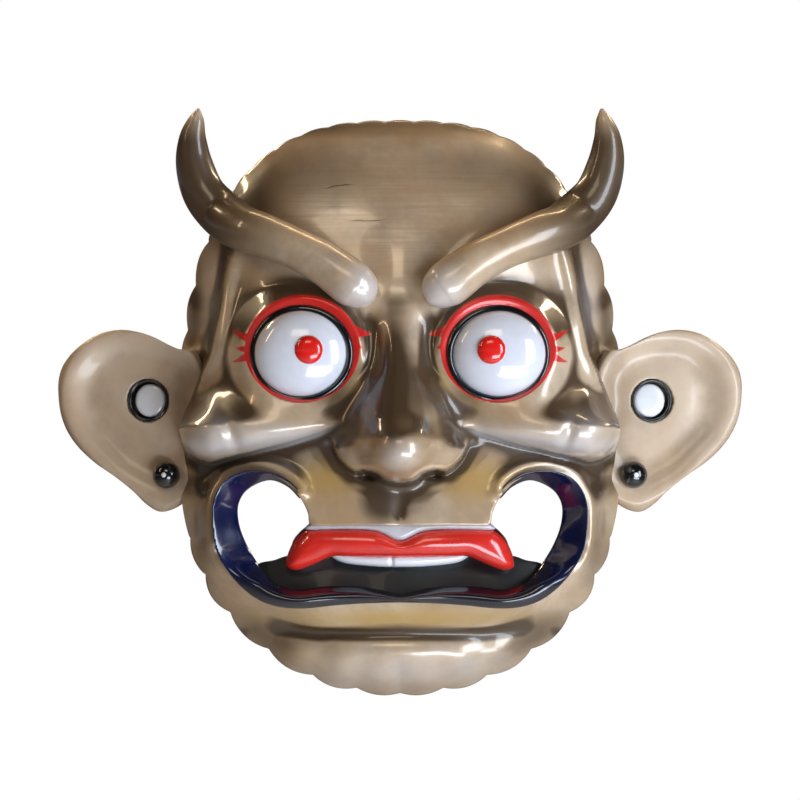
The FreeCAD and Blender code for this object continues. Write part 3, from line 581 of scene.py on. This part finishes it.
def agedLacquer(name, grain=1.0, darker=0.0, shine=0.16, coat=0.7, rough=0.0, peach=0.0):
    # layered noise mottling between cream, tan and grey; umber and brown, as stain and painted shade, gather where
    # the crease-and-shade attribute is high; ochre is a painted gold highlight and a bluish pale a painted highlight,
    # each from an attribute of its own
    board, look = Board(name), lacquerLook
    broad = board.noise(26, 5, 0.6, warp=0.6)
    cloud = board.noise(60, 5, 0.6)
    fine = board.noise(420, 4, 0.6)
    lines = board.noise(1.0, 4, 0.6, board.stretched((22, 22, 900)), 0.2)
    cavity = board.attribute("cavity")
    forehead = board.attribute("grain")
    colour = board.mix(broad.band(0.35, 0.68), look["tan"], look["cream"])
    colour = board.mix(cloud.band(0.48, 0.75) * 0.6, colour, look["grey"])
    colour = board.mix((lines.band(0.40, 0.70) * forehead * 0.8 * grain).clip(), colour, look["tan"])
    colour = board.mix(peach, colour, look["peach"])
    # umber and then brown are laid where the crease-and-shade attribute is high: stain and painted shade in creases
    # and on surfaces that face up
    umberStainAndShade = (cavity * 1.15 + (cloud - 0.5) * 0.5).band(0.12, 0.75)
    colour = board.mix(umberStainAndShade * 0.8, colour, look["umber"])
    # painted gold highlight: ochre laid where its attribute is high
    gilt = (board.attribute("gilt") + (cloud - 0.5) * 0.4).band(0.1, 0.8)
    colour = board.mix(gilt * 0.85, colour, look["ochre"])
    brownStainAndShade = (cavity * 1.2 + (broad - 0.5) * 0.5).band(0.32, 0.88)
    colour = board.mix(brownStainAndShade * 0.9, colour, look["brown"])
    colour = board.mix(darker, colour, look["brown"])
    speck = fine.band(0.70, 0.78) * cloud.band(0.42, 0.6)
    colour = board.mix(speck * 0.35, colour, look["brown"])
    across = board.node("ShaderNodeSeparateXYZ", None, {"Vector": board.place}, "X")
    up = board.node("ShaderNodeSeparateXYZ", None, {"Vector": board.place}, "Z")
    crack = forehead * 0.0
    for start, end, level, slope in look["cracks"]:     # a wavering line that thins out at both ends
        off = (up - level - (across - start) * slope - (cloud - 0.5) * 0.004).size()
        width = (across - start).band(0, 0.005) * (end - across).band(0, 0.005) * 0.0003
        crack = crack + (width - off).band(0, 0.00012)
    crack = crack.clip() * forehead
    colour = board.mix(crack * 0.8, colour, look["crack"])
    # painted highlight: a bluish pale laid where its attribute is high
    highlightShare = (board.attribute("pale") + (cloud - 0.5) * 0.3).band(0.1, 0.9)
    colour = board.mix(highlightShare * 0.65, colour, look["pale"])
    paint = board.attribute("paint")
    painted = (paint + (fine - 0.5) * 0.25).band(0.15, 0.45)
    colour = board.mix(painted * 0.97, colour, look["liner"])
    rough = 0.24 + rough + cloud * 0.16 + crack * 0.3 + umberStainAndShade * 0.08
    return board.finish(colour, rough, coat, ((lines * forehead, 0.10, 0.0004), (cloud, 0.16, 0.0006),
                                              (fine, 0.05, 0.0003), (crack * -1, 0.5, 0.0005)),
                        {"Coat Roughness": 0.09, "IOR": 1.5, "Metallic": shine})


def paintedLacquer(name, base, worn, depth, roughness, scale=90.0, coat=0.8, below=None):
    # even lacquer with a faint cloud of a second tone, brush waves and small dents
    # below is a height and the darker tone that the colour turns to under it
    board = Board(name)
    cloud = board.noise(scale, 5, 0.6)
    fine = board.noise(700, 3, 0.6)
    streak = board.noise(1.0, 3, 0.5, board.stretched((30, 30, 260), (0.2, 0.3, 0.1)))
    share = (cloud.band(0.45, 0.8) * 0.7 + streak.band(0.5, 0.85) * 0.3 + fine.band(0.68, 0.8) * 0.25) * depth
    colour = board.mix(share.clip(), base, worn)
    if below:
        up = board.node("ShaderNodeSeparateXYZ", None, {"Vector": board.place}, "Z")
        colour = board.mix((below[0] - up + (cloud - 0.5) * 0.006).band(-0.004, 0.004), colour, below[1])
    return board.finish(colour, roughness + cloud * 0.12, coat, ((streak, 0.08, 0.0004), (cloud, 0.12, 0.0005),
                                                                  (fine, 0.04, 0.0002)),
                        {"Coat Roughness": 0.06, "IOR": 1.5})


faceFinish = agedLacquer("agedLacquer")
hornFinish = agedLacquer("hornLacquer", 0.3, 0.02, 0.08, 0.55)
earFinish = agedLacquer("earLacquer", 0.0, 0.16, 0.04, 0.35, 0.12, 0.3)
blackFinish = paintedLacquer("blackLacquer", (0.003, 0.004, 0.005), (0.012, 0.012, 0.014), 0.6, 0.10)
navyFinish = paintedLacquer("navyLacquer", (0.003, 0.006, 0.040), (0.010, 0.020, 0.085), 0.8, 0.12,
                            below=(-0.0635, (0.008, 0.008, 0.016)))
redFinish = paintedLacquer("redLacquer", (0.66, 0.022, 0.014), (0.34, 0.016, 0.012), 0.8, 0.2)
whiteFinish = paintedLacquer("whiteLacquer", (0.74, 0.75, 0.79), (0.55, 0.53, 0.52), 0.6, 0.18)
bandFinish = paintedLacquer("bandLacquer", (0.50, 0.49, 0.52), (0.25, 0.22, 0.21), 0.9, 0.2)
toothFinish = paintedLacquer("toothLacquer", (0.72, 0.72, 0.76), (0.5, 0.46, 0.42), 0.6, 0.16)
eyeFinish = paintedLacquer("eyeWhite", (0.66, 0.67, 0.74), (0.54, 0.53, 0.58), 0.6, 0.14)
pupilFinish = paintedLacquer("pupilRed", (0.72, 0.012, 0.008), (0.45, 0.01, 0.008), 0.6, 0.14)
throatFinish = paintedLacquer("throatLacquer", (0.003, 0.004, 0.005), (0.010, 0.011, 0.013), 0.6, 0.40, coat=0.08)
insideFinish = agedLacquer("insideWood", 1.0, 0.45)
print("finishes made")


# mouth outlines

mouth = {
    "hole": [(48.3, -25.9), (57.0, -29.5), (61.4, -35.2), (61.6, -42.6), (59.0, -51.0), (53.6, -58.6),
             (46.0, -57.2), (41.3, -55.3), (39.3, -49.4), (36.4, -45.8), (33.3, -43.0), (33.2, -39.0),
             (35.0, -34.3), (41.2, -28.3)],
    "edge": [(0, -43.2), (16, -43.0), (29.5, -43.2), (32.6, -42.6), (33.2, -39.0), (35.2, -34.6), (38.3, -30.6),
             (42.9, -26.7), (48.6, -24.7), (56.2, -24.7), (62.6, -27.4), (66.5, -33.0), (67.6, -40.0), (66.2, -51.7),
             (60.9, -61.1), (53.5, -68.2), (45.8, -71.8), (36.0, -72.8), (24.0, -71.7), (12.0, -70.9), (0, -70.7)],
    "red": [(0, -48.6), (5.5, -46.4), (10, -45.0), (22, -44.6), (32.6, -44.9), (36.4, -46.8), (39.3, -50.2),
            (41.4, -55.4), (41.6, -58.6), (39.2, -59.9), (36.2, -59.6), (30.6, -57.4), (25.0, -54.9),
            (20.0, -54.9), (10.0, -55.1), (0, -55.2)],
    "band": [(0, -42.6), (16, -42.4), (30.0, -42.4), (33.4, -43.2), (33.6, -45.2), (20, -45.0), (9, -45.6),
             (0, -49.0)],
    "teeth": [(0, -54.0), (14, -53.8), (22.0, -53.2), (26.0, -53.2), (24.6, -55.4), (20.0, -57.4), (10.0, -58.5),
              (0, -58.8)],
    "panel": [(0, -53.0), (24.0, -53.0), (40.0, -54.6), (46.0, -56.4), (51.6, -57.6), (54.6, -60.6),
              (48.0, -66.0), (38.0, -69.2), (25.0, -68.4), (12.0, -68.8), (0, -69.8)],
}


# mask face and its hollow back

def linerPaint(x, z):
    # red liner: an oval band round each eye with tapering flicks, as a distance in millimetres, inside positive
    side = np.abs(x)
    oval = (1 - np.hypot((side - 35.6) / 21.3, (z - 21.0) / 20.0)) * 20.5
    best = oval
    flicks = [((19.0, 28.0), (9.4, 26.0), 3.0), ((18.2, 24.0), (12.6, 20.6), 2.4),
              ((54.6, 24.4), (63.0, 28.8), 2.0), ((55.0, 20.8), (61.4, 21.6), 1.9),
              ((54.6, 18.6), (62.6, 15.8), 2.1)]
    for (ax, az), (bx, bz), thick in flicks:
        length = math.hypot(bx - ax, bz - az)
        t = np.clip(((side - ax) * (bx - ax) + (z - az) * (bz - az)) / length ** 2, 0, 1)
        bend = 0.9 * np.sin(math.pi * t)
        gap = np.hypot(side - ax - t * (bx - ax), z - az - t * (bz - az) + bend * 0.4)
        best = np.maximum(best, thick * (1 - t) ** 0.8 - gap)
    return best


def creaseShare(x, z, height):
    # 0 to 1: how far a point lies below the average of the surface a few millimetres round it
    around = np.zeros_like(height)
    for reach in (2.5, 5.0, 9.0):
        turns = np.arange(6) * math.pi / 3
        ring = sum(faceHeight(x + reach * math.cos(t), z + reach * math.sin(t)) for t in turns) / 6
        around += np.clip(ring - height, -3, 3) / reach
    return np.clip(around * 1.1, 0, 1)


lipOuterLoop = closedCurve(bothSides(lipLook["outer"]), 6)
creaseHalf = [(66.0, -54.5), (60.8, -64.4), (53.6, -71.4), (45.1, -77.7), (37.4, -82.4), (29.6, -83.6),
              (21.8, -82.8), (0, -82.0)]
jawCrease = openCurve(creaseHalf + [(-x, z) for x, z in creaseHalf[-2::-1]], 4)
jawCrease = np.vstack([jawCrease, jawCrease[-2::-1]])   # there and back, so that the loop closes on itself
headLoop = scalloped()
mouthLoop = closedCurve(bothSides(mouth["edge"]))
holeLoops = [closedCurve([(x * side, z) for x, z in mouth["hole"]]) for side in (1, -1)]
sheet = cutSheet(headLoop, [mouthLoop], 0.62)
x, z = sheet["x"], sheet["z"]
height = faceHeight(x, z)
points = np.stack([x, -height, z], 1)
points, faces = wallOn(points, sheet["quads"], sheet, {
    0: [(0.0, 1.2), (0.0, lambda base: base[:, 1] * 0.5), (0.0, lambda base: base[:, 1] * 0 - 0.6),
        (-0.5, lambda base: base[:, 1] * 0), (-2.0, lambda base: base[:, 1] * 0)],
    1: [(0.25, 0.25), (0.35, 1.2), (0.35, 6.0)]})
side = np.abs(x)
upward = faceHeight(x, z - 0.8) - faceHeight(x, z + 0.8)     # positive where the surface looks up
# stain and painted shade: darker on surfaces that face up, and in spots under the nose, along its ridge, at the top
# corners and edge of the forehead and along the jaw
stainAndShadeSpots = (0.75 * smoothStep(0.35, 1.6, upward) * smoothStep(64, 40, z)
           + 0.85 * bell(x, z, -7, -35, 9, 8) + 0.25 * bell(x, z, 8, -36, 9, 8)
           + 0.85 * bell(x, z, -2.5, 8, 4.5, 24)
           + 0.55 * bell(side, z, 24, 3, 8, 9, 30) + 0.45 * bell(side, z, 62, -2, 10, 6)
           + 0.45 * smoothStep(97, 104, z) + 0.8 * bell(side, z, 62, 74, 15, 20, -30)
           + 0.55 * bell(side, z, 50, -84, 16, 8, 30) + 0.18 * bell(x, z, 0, -78, 46, 5)
           + 0.5 * bell(side, z, 76, 30, 4, 26) + 0.3 * bell(side, z, 16, 22, 5, 10)
           + 0.16 * smoothStep(52, 66, z) + 0.25 * bell(side, z, 40, 86, 40, 12)
           + 0.35 * bell(side, z, 72, -50, 8, 26))
addPiece("maskFace", points, faces, faceFinish, ["mask_shell"], values={
    # creaseShare darkens creases and hollows as painted shade, added to the stain and painted shade spots above
    "paint": linerPaint(x, z), "cavity": np.clip(creaseShare(x, z, height) + stainAndShadeSpots, 0, 1),
    # painted gold highlights on the ridges beside the nose, along the jaw crease and on the flanks of the nose
    "gilt": (0.7 * bell(side, z, 28, -27, 15, 8) + 0.8 * bell(x, z, 0, -77.5, 50, 4.5)
             + 0.7 * bell(side, z, 13, 3, 4, 9) + 0.5 * bell(side, z, 27, 8, 6, 8) + 0.4 * bell(x, z, 12, 0, 5, 12)),
    # painted highlight: lighter where the surface faces down on the lower cheeks, and on the cheek ends, chin, nose
    # tip and temples
    "pale": (smoothStep(0.5, 2.2, -upward) * 0.5 * smoothStep(-24, -10, z) * smoothStep(20, 30, side)
             + 0.5 * bell(side, z, 68, -10, 10, 9) + 0.45 * bell(side, z, 46, -10.5, 20, 4.5, -8)
             + 0.45 * bell(x, z, 0, -98, 40, 9) + 0.5 * bell(x, z, 0, -18, 8, 6)
             + 0.35 * bell(side, z, 70, 42, 5, 22)),
    "grain": smoothStep(40, 60, z) * smoothStep(0.98, 0.8, outlineShare(x, z))})
print("mask face:", len(faces), "faces")

backSheet = cutSheet(headLoop * 0.985 + [0, -0.3], holeLoops, 1.6)
x, z = backSheet["x"], backSheet["z"]
depth = np.where(outlineShare(x, z) < 0.9, np.clip(hollowHeight(x, z), 0, None), 0.0)
points = np.stack([x, -depth, z], 1)
points, faces = wallOn(points, backSheet["quads"], backSheet, {
    1: [(-0.3, lambda base: base[:, 1] * 0 - 41.0)], 2: [(-0.3, lambda base: base[:, 1] * 0 - 41.0)]})
addPiece("maskBack", points, faces[:, ::-1], insideFinish, ())
print("mask back:", len(faces), "faces")


# horns

hornLine = [(9.6, 38.6, 6.0, 0.5), (10.2, 39.0, 6.2, 3.2), (12.0, 40.4, 6.8, 6.0), (15.0, 42.8, 7.4, 7.9),
            (18.6, 45.4, 7.8, 8.6), (27.4, 51.8, 7.5, 8.0), (38.2, 57.5, 6.5, 7.5), (50.3, 62.5, 5.5, 8.2),
            (58.5, 65.6, 4.5, 8.6), (65.6, 70.8, 4.5, 8.8), (72.4, 78.6, 22.5, 8.0), (76.0, 89.2, 22.0, 6.9),
            (76.6, 98.4, 23.0, 5.2), (75.2, 105.6, 24.5, 3.0), (74.4, 109.6, 25.5, 0.6)]
hornStations = [(x, z, (float(skull(np.array(x), np.array(z))) if x < 66 else 0) + lift, radius)
                for x, z, lift, radius in hornLine]
for name, side in (("Left", -1), ("Right", 1)):
    tube("horn" + name, [(x * side, z, h, r) for x, z, h, r in hornStations], hornFinish,
         ["horn_" + name.lower()], 56, 9,
         # horns: darker towards their outer parts as stain and painted shade, painted highlight at their inner ends
         values={"cavity": lambda line: 0.15 + (0.55 * smoothStep(30, 68, np.abs(line[:, 0]))
                                                * smoothStep(112, 96, line[:, 1])),
                 "pale": lambda line: 0.75 * smoothStep(24, 13, np.abs(line[:, 0]))})
print("horns made")


# ears

earLook = {"outline": [(71.7, 19.2), (82.3, 21.2), (91.8, 25.7), (98.8, 27.8), (105.9, 28.0), (113.0, 25.9),
                       (120.1, 21.0), (124.8, 15.3), (126.6, 9.6), (126.6, 3.5), (125.7, -3.1), (123.4, -9.3),
                       (119.1, -15.4), (113.0, -21.0), (105.9, -25.8), (98.8, -31.4), (94.1, -36.1), (89.4, -39.0),
                       (84.7, -38.5), (80.0, -35.7), (77.1, -31.0), (75.7, -24.8), (72.5, -8.0), (71.5, 6.0)],
           "ring": (93.2, 2.0), "ringRadius": 7.8, "stud": (86.3, -25.4), "studRadius": 5.1}


def earReach(x, z):                         # 0 at the ring, 1 on the ear's edge
    angle = np.arctan2(z - 2.0, x - 93.2)
    edge = through([-3.15, -2.6, -2.2, -1.75, -1.45, -0.9, -0.4, 0.0, 0.4, 0.9, 1.35, 1.8, 2.3, 2.75, 3.15],
                   [21, 26, 36, 41, 36.5, 31, 32, 33.6, 34, 31.5, 27.5, 25.5, 25, 23, 21], angle)
    return np.hypot(x - 93.2, z - 2.0) / edge


def earFront(x, z):                         # tilted plane with a raised rim, a groove inside it and a recess
    side = np.abs(x)
    reach = earReach(side, z)
    height = 23 - 0.16 * (side - 78) + 2.4 * np.exp(-((reach - 0.90) / 0.18) ** 2)
    height = height - 1.3 * np.exp(-((reach - 0.60) / 0.18) ** 2)
    height = height - 7 * smoothStep(0.94, 1.12, reach)
    recess = np.hypot(side - 93.2, z - 2.0)
    return height - 9 * smoothStep(7.9, 7.2, recess)


def earBack(x, z):
    side = np.abs(x)
    return 13 - 0.16 * (side - 78) + 3.5 * smoothStep(0.7, 1.1, earReach(side, z))


# painted shade: darker in the groove inside the rim and at the root where the ear meets the head
def earShade(x, z):
    side = np.abs(x)
    reach = earReach(side, z)
    groove = np.exp(-((reach - 0.62) / 0.14) ** 2) * 0.16
    root = smoothStep(86, 76, side) * 0.18
    return {"cavity": np.clip(groove + root, 0, 1)}


for name, side in (("Left", -1), ("Right", 1)):
    low = name.lower()
    loop = closedCurve([(x * side, z) for x, z in earLook["outline"]])
    plate("ear" + name, loop, earFront, earBack, 0.6, [(-0.2, 0.04), (0.0, 0.2), (0.0, 0.7), (-0.5, 0.92)],
          earFinish, ["ear_" + low], values=earShade)
    seat = np.array([93.2 * side, -(23.2 - 0.16 * 15.2), 2.0])
    look = (math.sin(math.radians(8)) * side, -math.cos(math.radians(8)), 0)
    lathe("earRing" + name, [(6.5, -8), (6.5, -1.0), (6.7, -0.2), (7.1, 0.15), (7.5, 0.0), (7.8, -0.6), (7.8, -8),
                             (6.5, -8)], seat, look, blackFinish, ["ear_ring_" + low], (0.97, 1.05))
    lathe("earDisc" + name, [(5.9, -7.6), (5.9, -2.2), (5.6, -1.7), (4.6, -1.35), (2.5, -1.15), (0.3, -1.1)],
          seat - [0.55 * side, 0, 0], look, whiteFinish, ["ear_disc_" + low], (0.97, 1.05))
    ball = np.array([86.3 * side, -23.0, -25.4])
    arc = np.linspace(-math.pi / 2 + 0.05, math.pi / 2 - 0.19, 26)
    lathe("lobeStud" + name, [(5.1 * math.cos(t), 5.1 * math.sin(t)) for t in arc], ball,
          (math.sin(math.radians(9)) * side, -math.cos(math.radians(9)), 0), blackFinish,
          ["lobe_stud_" + low])
    lathe("studDot" + name, [(0.95, 4.4), (0.95, 5.05), (0.6, 5.25), (0.1, 5.35)], ball,
          (math.sin(math.radians(9)) * side, -math.cos(math.radians(9)), 0), whiteFinish,
          ["stud_dot_" + low], around=24)
print("ears made")


# eyes

for name, side in (("Left", -1), ("Right", 1)):
    low = name.lower()
    forward = (0, -1, 0)
    seat = np.array([eyes["x"] * side, -eyes["seat"], eyes["z"]])
    wide, tall = eyes["white"]
    arc = np.linspace(0, math.pi / 2 - 0.01, 40)
    dome = [(1.0, -6.0)] + [(math.cos(t), eyes["bulge"] * math.sin(t)) for t in arc]
    lathe("eyeball" + name, dome, seat, forward, eyeFinish, ["eyeball_" + low], (wide, tall), 96)
    ringWide, ringTall = eyes["ring"]
    turn = np.linspace(0, 2 * math.pi, 97)[:-1]
    inner = np.stack([0.965 * wide * np.cos(turn), 0.935 * tall * np.sin(turn) - 0.45], 1)
    outer = np.stack([ringWide * np.cos(turn), ringTall * np.sin(turn)], 1)
    ringX, ringZ = eyes["x"] * side + (inner + outer)[:, 0] / 2, eyes["z"] + (inner + outer)[:, 1] / 2
    ringTop = 53.9 - 0.12 * (np.abs(ringX) - eyes["x"]) - 0.05 * (ringZ - eyes["z"])
    thick = np.hypot(*(outer - inner).T) / 2
    small = np.linspace(0, 2 * math.pi, 20, endpoint=False)
    reach = thick[:, None] * np.cos(small)
    ring = np.stack([ringX[:, None] + reach * np.cos(turn)[:, None],
                     -(ringTop[:, None] - 0.9 + 1.3 * np.sin(small)),
                     ringZ[:, None] + reach * np.sin(turn)[:, None]], -1).reshape(-1, 3)
    index = np.arange(96 * 20).reshape(96, 20)
    faces = np.stack([index, np.roll(index, -1, 0), np.roll(np.roll(index, -1, 0), -1, 1), np.roll(index, -1, 1)],
                     -1).reshape(-1, 4)
    faceOut(addPiece("eyeRing" + name, ring, faces, blackFinish, ["eye_ring_" + low]))
    pupilX, pupilZ = eyes["pupil"]
    across, up = (pupilX - eyes["x"]) / wide, (pupilZ - eyes["z"]) / tall
    lift = eyes["bulge"] * math.sqrt(1 - across ** 2 - up ** 2)
    radius = eyes["pupilRadius"]
    arc = np.linspace(0.0, math.pi / 2 - 0.02, 18)
    drop = [(radius, -2.0)] + [(radius * math.cos(t) ** 0.8, -0.8 + 2.6 * math.sin(t)) for t in arc]
    lathe("pupil" + name, drop, (pupilX * side, -eyes["seat"] - lift, pupilZ), forward, pupilFinish,
          ["pupil_" + low], around=64)
print("eyes made")


# lips, teeth and the inside of the mouth

lipOuter = openCurve(lipLook["outer"] + [(-x, z) for x, z in lipLook["outer"][-2::-1]], 8)
lipInner = openCurve(lipLook["inner"] + [(-x, z) for x, z in lipLook["inner"][-2::-1]], 8)
lipLoop = np.vstack([lipOuter, lipInner[::-1][1:-1]])


def lipHeight(x, z):
    # at the sides a band that sinks inwards like a bowl's wall, at the bottom a roll; t runs from outer to inner
    outside, inside = np.abs(toLoop(x, z, lipOuter)[0]), np.abs(toLoop(x, z, lipInner)[0])
    t = outside / np.maximum(outside + inside, 1e-6)
    bottom = smoothStep(-56, -66, z)
    level = through([0, 36, 50, 60, 68], [52.6, 52.6, 51.6, 50.6, 49.5], np.abs(x)) + 0.6
    bulge = -0.8 * (1 - bottom) + (3.2 + 0.5 * np.cos(x / 6.5)) * bottom
    sink = 8.5 * (1 - bottom) + 3.0 * bottom
    ripple = 0.35 * np.sin((np.arctan2(z + 48, np.abs(x) - 30)) * 17) * smoothStep(34, 46, np.abs(x)) * t
    return level + bulge * np.sin(math.pi * t) - sink * t ** 1.4 + ripple * (1 - bottom)


plate("lowerLip", lipLoop, lipHeight, lambda x, z: lipHeight(x, z) - 5.0, 0.45,
      [(0.12, 0.08), (0.2, 0.3), (0.0, 0.9)], navyFinish, ["lower_lip"])


def pillow(loop, base, rise, width):        # a height that rises inside a loop as a quarter ellipse
    def height(x, z):
        share = np.clip(toLoop(x, z, loop)[0] / width, 0, 1)
        level = base(x, z) if callable(base) else base
        return level + rise * np.sqrt(1 - (1 - share) ** 2)
    return height


def flatAt(level):
    return lambda x, z: np.full(len(x), float(level))


softEdge = [(0.0, 0.1), (0.0, 0.9)]
redLoop = closedCurve(bothSides(mouth["red"]))
plate("upperLip", redLoop, pillow(redLoop, lambda x, z: 51 - 5 * (np.abs(x) / 42) ** 2.5, 5.0, 6.0),
      flatAt(40.2), 0.5, softEdge, redFinish, ["upper_lip"])
bandLoop = closedCurve(bothSides(mouth["band"]))
plate("lipBand", bandLoop, pillow(bandLoop, lambda x, z: 52.0 - 4 * (np.abs(x) / 42) ** 2.5, 2.0, 2.0),
      flatAt(40.2), 0.5, softEdge, bandFinish, ["lip_band"])
teethLoop = closedCurve(bothSides(mouth["teeth"]))
plate("upperTeeth", teethLoop,
      lambda x, z: (pillow(teethLoop, 48.5, 3.0, 2.4)(x, z) - 3.0 * (x / 30) ** 2
                    - 0.9 * np.exp(-((x + 3) / 0.7) ** 2)),
      flatAt(40.2), 0.45, softEdge, toothFinish, ["upper_teeth"])
panelLoop = closedCurve(bothSides(mouth["panel"]))
plate("innerMouth", panelLoop,
      lambda x, z: (46.0 - 5 * (np.abs(x) / 50) ** 2 + 0.9 * np.sin(x / 6.5 + 1.2) * np.sin((z + 66) / 5.0)
                    - 0.35 * (z + 58)),
      flatAt(40.2), 0.6, softEdge, throatFinish, ["inner_mouth"])
print("mouth made")


# floor, light and camera

def stagePiece(name, corners, faces, material):
    mesh = bpy.data.meshes.new(name)
    mesh.from_pydata(corners, [], faces)
    piece = bpy.data.objects.new(name, mesh)
    bpy.context.scene.collection.objects.link(piece)
    mesh.materials.append(material)
    return piece


stageLook = {"floor": (0.88, 0.88, 0.89), "glow": 0.72, "roomStrength": 0.85,
             "room": [(0.0, (0.80, 0.88, 1.0, 1)), (0.36, (0.80, 0.88, 1.0, 1)), (0.47, (0.26, 0.28, 0.32, 1)),
                      (0.56, (0.03, 0.026, 0.022, 1)), (1.0, (0.05, 0.042, 0.034, 1))]}
floorBoard = Board("paleFloor")
seen = floorBoard.node("ShaderNodeLightPath", out="Is Camera Ray")      # the floor glows to the camera only
floorFinish = floorBoard.finish(stageLook["floor"], 0.8, fixed={"Emission Color": seen * stageLook["glow"],
                                                                "Emission Strength": 1.0})
stagePiece("paleFloor", [(-6, -8, -0.8), (6, -8, -0.8), (6, 7, -0.8), (-6, 7, -0.8)], [(0, 1, 2, 3)], floorFinish)

# the camera sees white paper; other rays see a room that is bright and cool below, and dark and warm above
sky = Board("studio", bpy.data.worlds)
bpy.context.scene.world = sky.owner
aim = sky.node("ShaderNodeTexCoord", out="Generated")
up = sky.node("ShaderNodeSeparateXYZ", None, {"Vector": aim}, "Z")
colour = sky.node("ShaderNodeValToRGB", {"stops": stageLook["room"]}, {"Fac": up * 0.5 + 0.5})
room = sky.node("ShaderNodeBackground", None, {"Color": colour, "Strength": stageLook["roomStrength"]})
paper = sky.node("ShaderNodeBackground", None, {"Color": (1, 1, 1, 1), "Strength": 1.0})
seen = sky.node("ShaderNodeLightPath", out="Is Camera Ray")
sky.output(sky.node("ShaderNodeMixShader", None, {0: seen, 1: room, 2: paper}), "ShaderNodeOutputWorld")


def areaLight(name, spot, aim, size, power, colour):
    light = bpy.data.lights.new(name, "AREA")
    light.shape, light.size, light.size_y = "RECTANGLE", size[0], size[1]
    light.energy, light.color = power, colour
    lamp = bpy.data.objects.new(name, light)
    bpy.context.scene.collection.objects.link(lamp)
    lamp.location = spot
    lamp.rotation_mode = "QUATERNION"
    lamp.rotation_quaternion = (Vector(aim) - Vector(spot)).to_track_quat("-Z", "Y")


# name, place, what it aims at, size, watts, colour
for lamp in (("keyLow", (0.45, -0.85, -0.5), (0, 0, -0.02), (0.8, 0.35), 9, (0.80, 0.89, 1.0)),
             ("frontRight", (0.95, -0.75, 0.1), (0, 0, 0), (0.4, 0.8), 11, (0.82, 0.90, 1.0)),
             ("frontTop", (-0.1, -1.1, 0.75), (0, 0, 0.03), (0.5, 0.3), 2, (1.0, 0.86, 0.66)),
             ("warmTop", (0.1, 0.22, 0.8), (0, -0.03, 0.05), (0.5, 0.04), 2.0, (1.0, 0.72, 0.40)),
             ("warmLeft", (-0.75, -0.35, 0.5), (0, 0, 0), (0.03, 0.4), 1.0, (1.0, 0.74, 0.45)),
             ("warmBack", (-0.5, 0.35, 0.55), (0, 0, 0.05), (0.5, 0.05), 2.5, (1.0, 0.78, 0.5)),
             ("warmBackRight", (0.6, 0.35, 0.5), (0, 0, 0.05), (0.4, 0.05), 2.0, (1.0, 0.8, 0.55))):
    areaLight(*lamp)

camera = bpy.data.cameras.new("camera")
camera.lens, camera.sensor_width = 250, 36
camera.clip_start, camera.clip_end = 0.05, 50
viewer = bpy.data.objects.new("camera", camera)
bpy.context.scene.collection.objects.link(viewer)
middleX, middleZ, plane = 0.0, 0.0022, -0.030
viewer.location = (middleX, plane - 0.2945 * 250 / 36, middleZ)
viewer.rotation_euler = (math.pi / 2, 0, 0)
bpy.context.scene.camera = viewer

bpy.context.scene.view_settings.view_transform = "Standard"
print("scene ready")
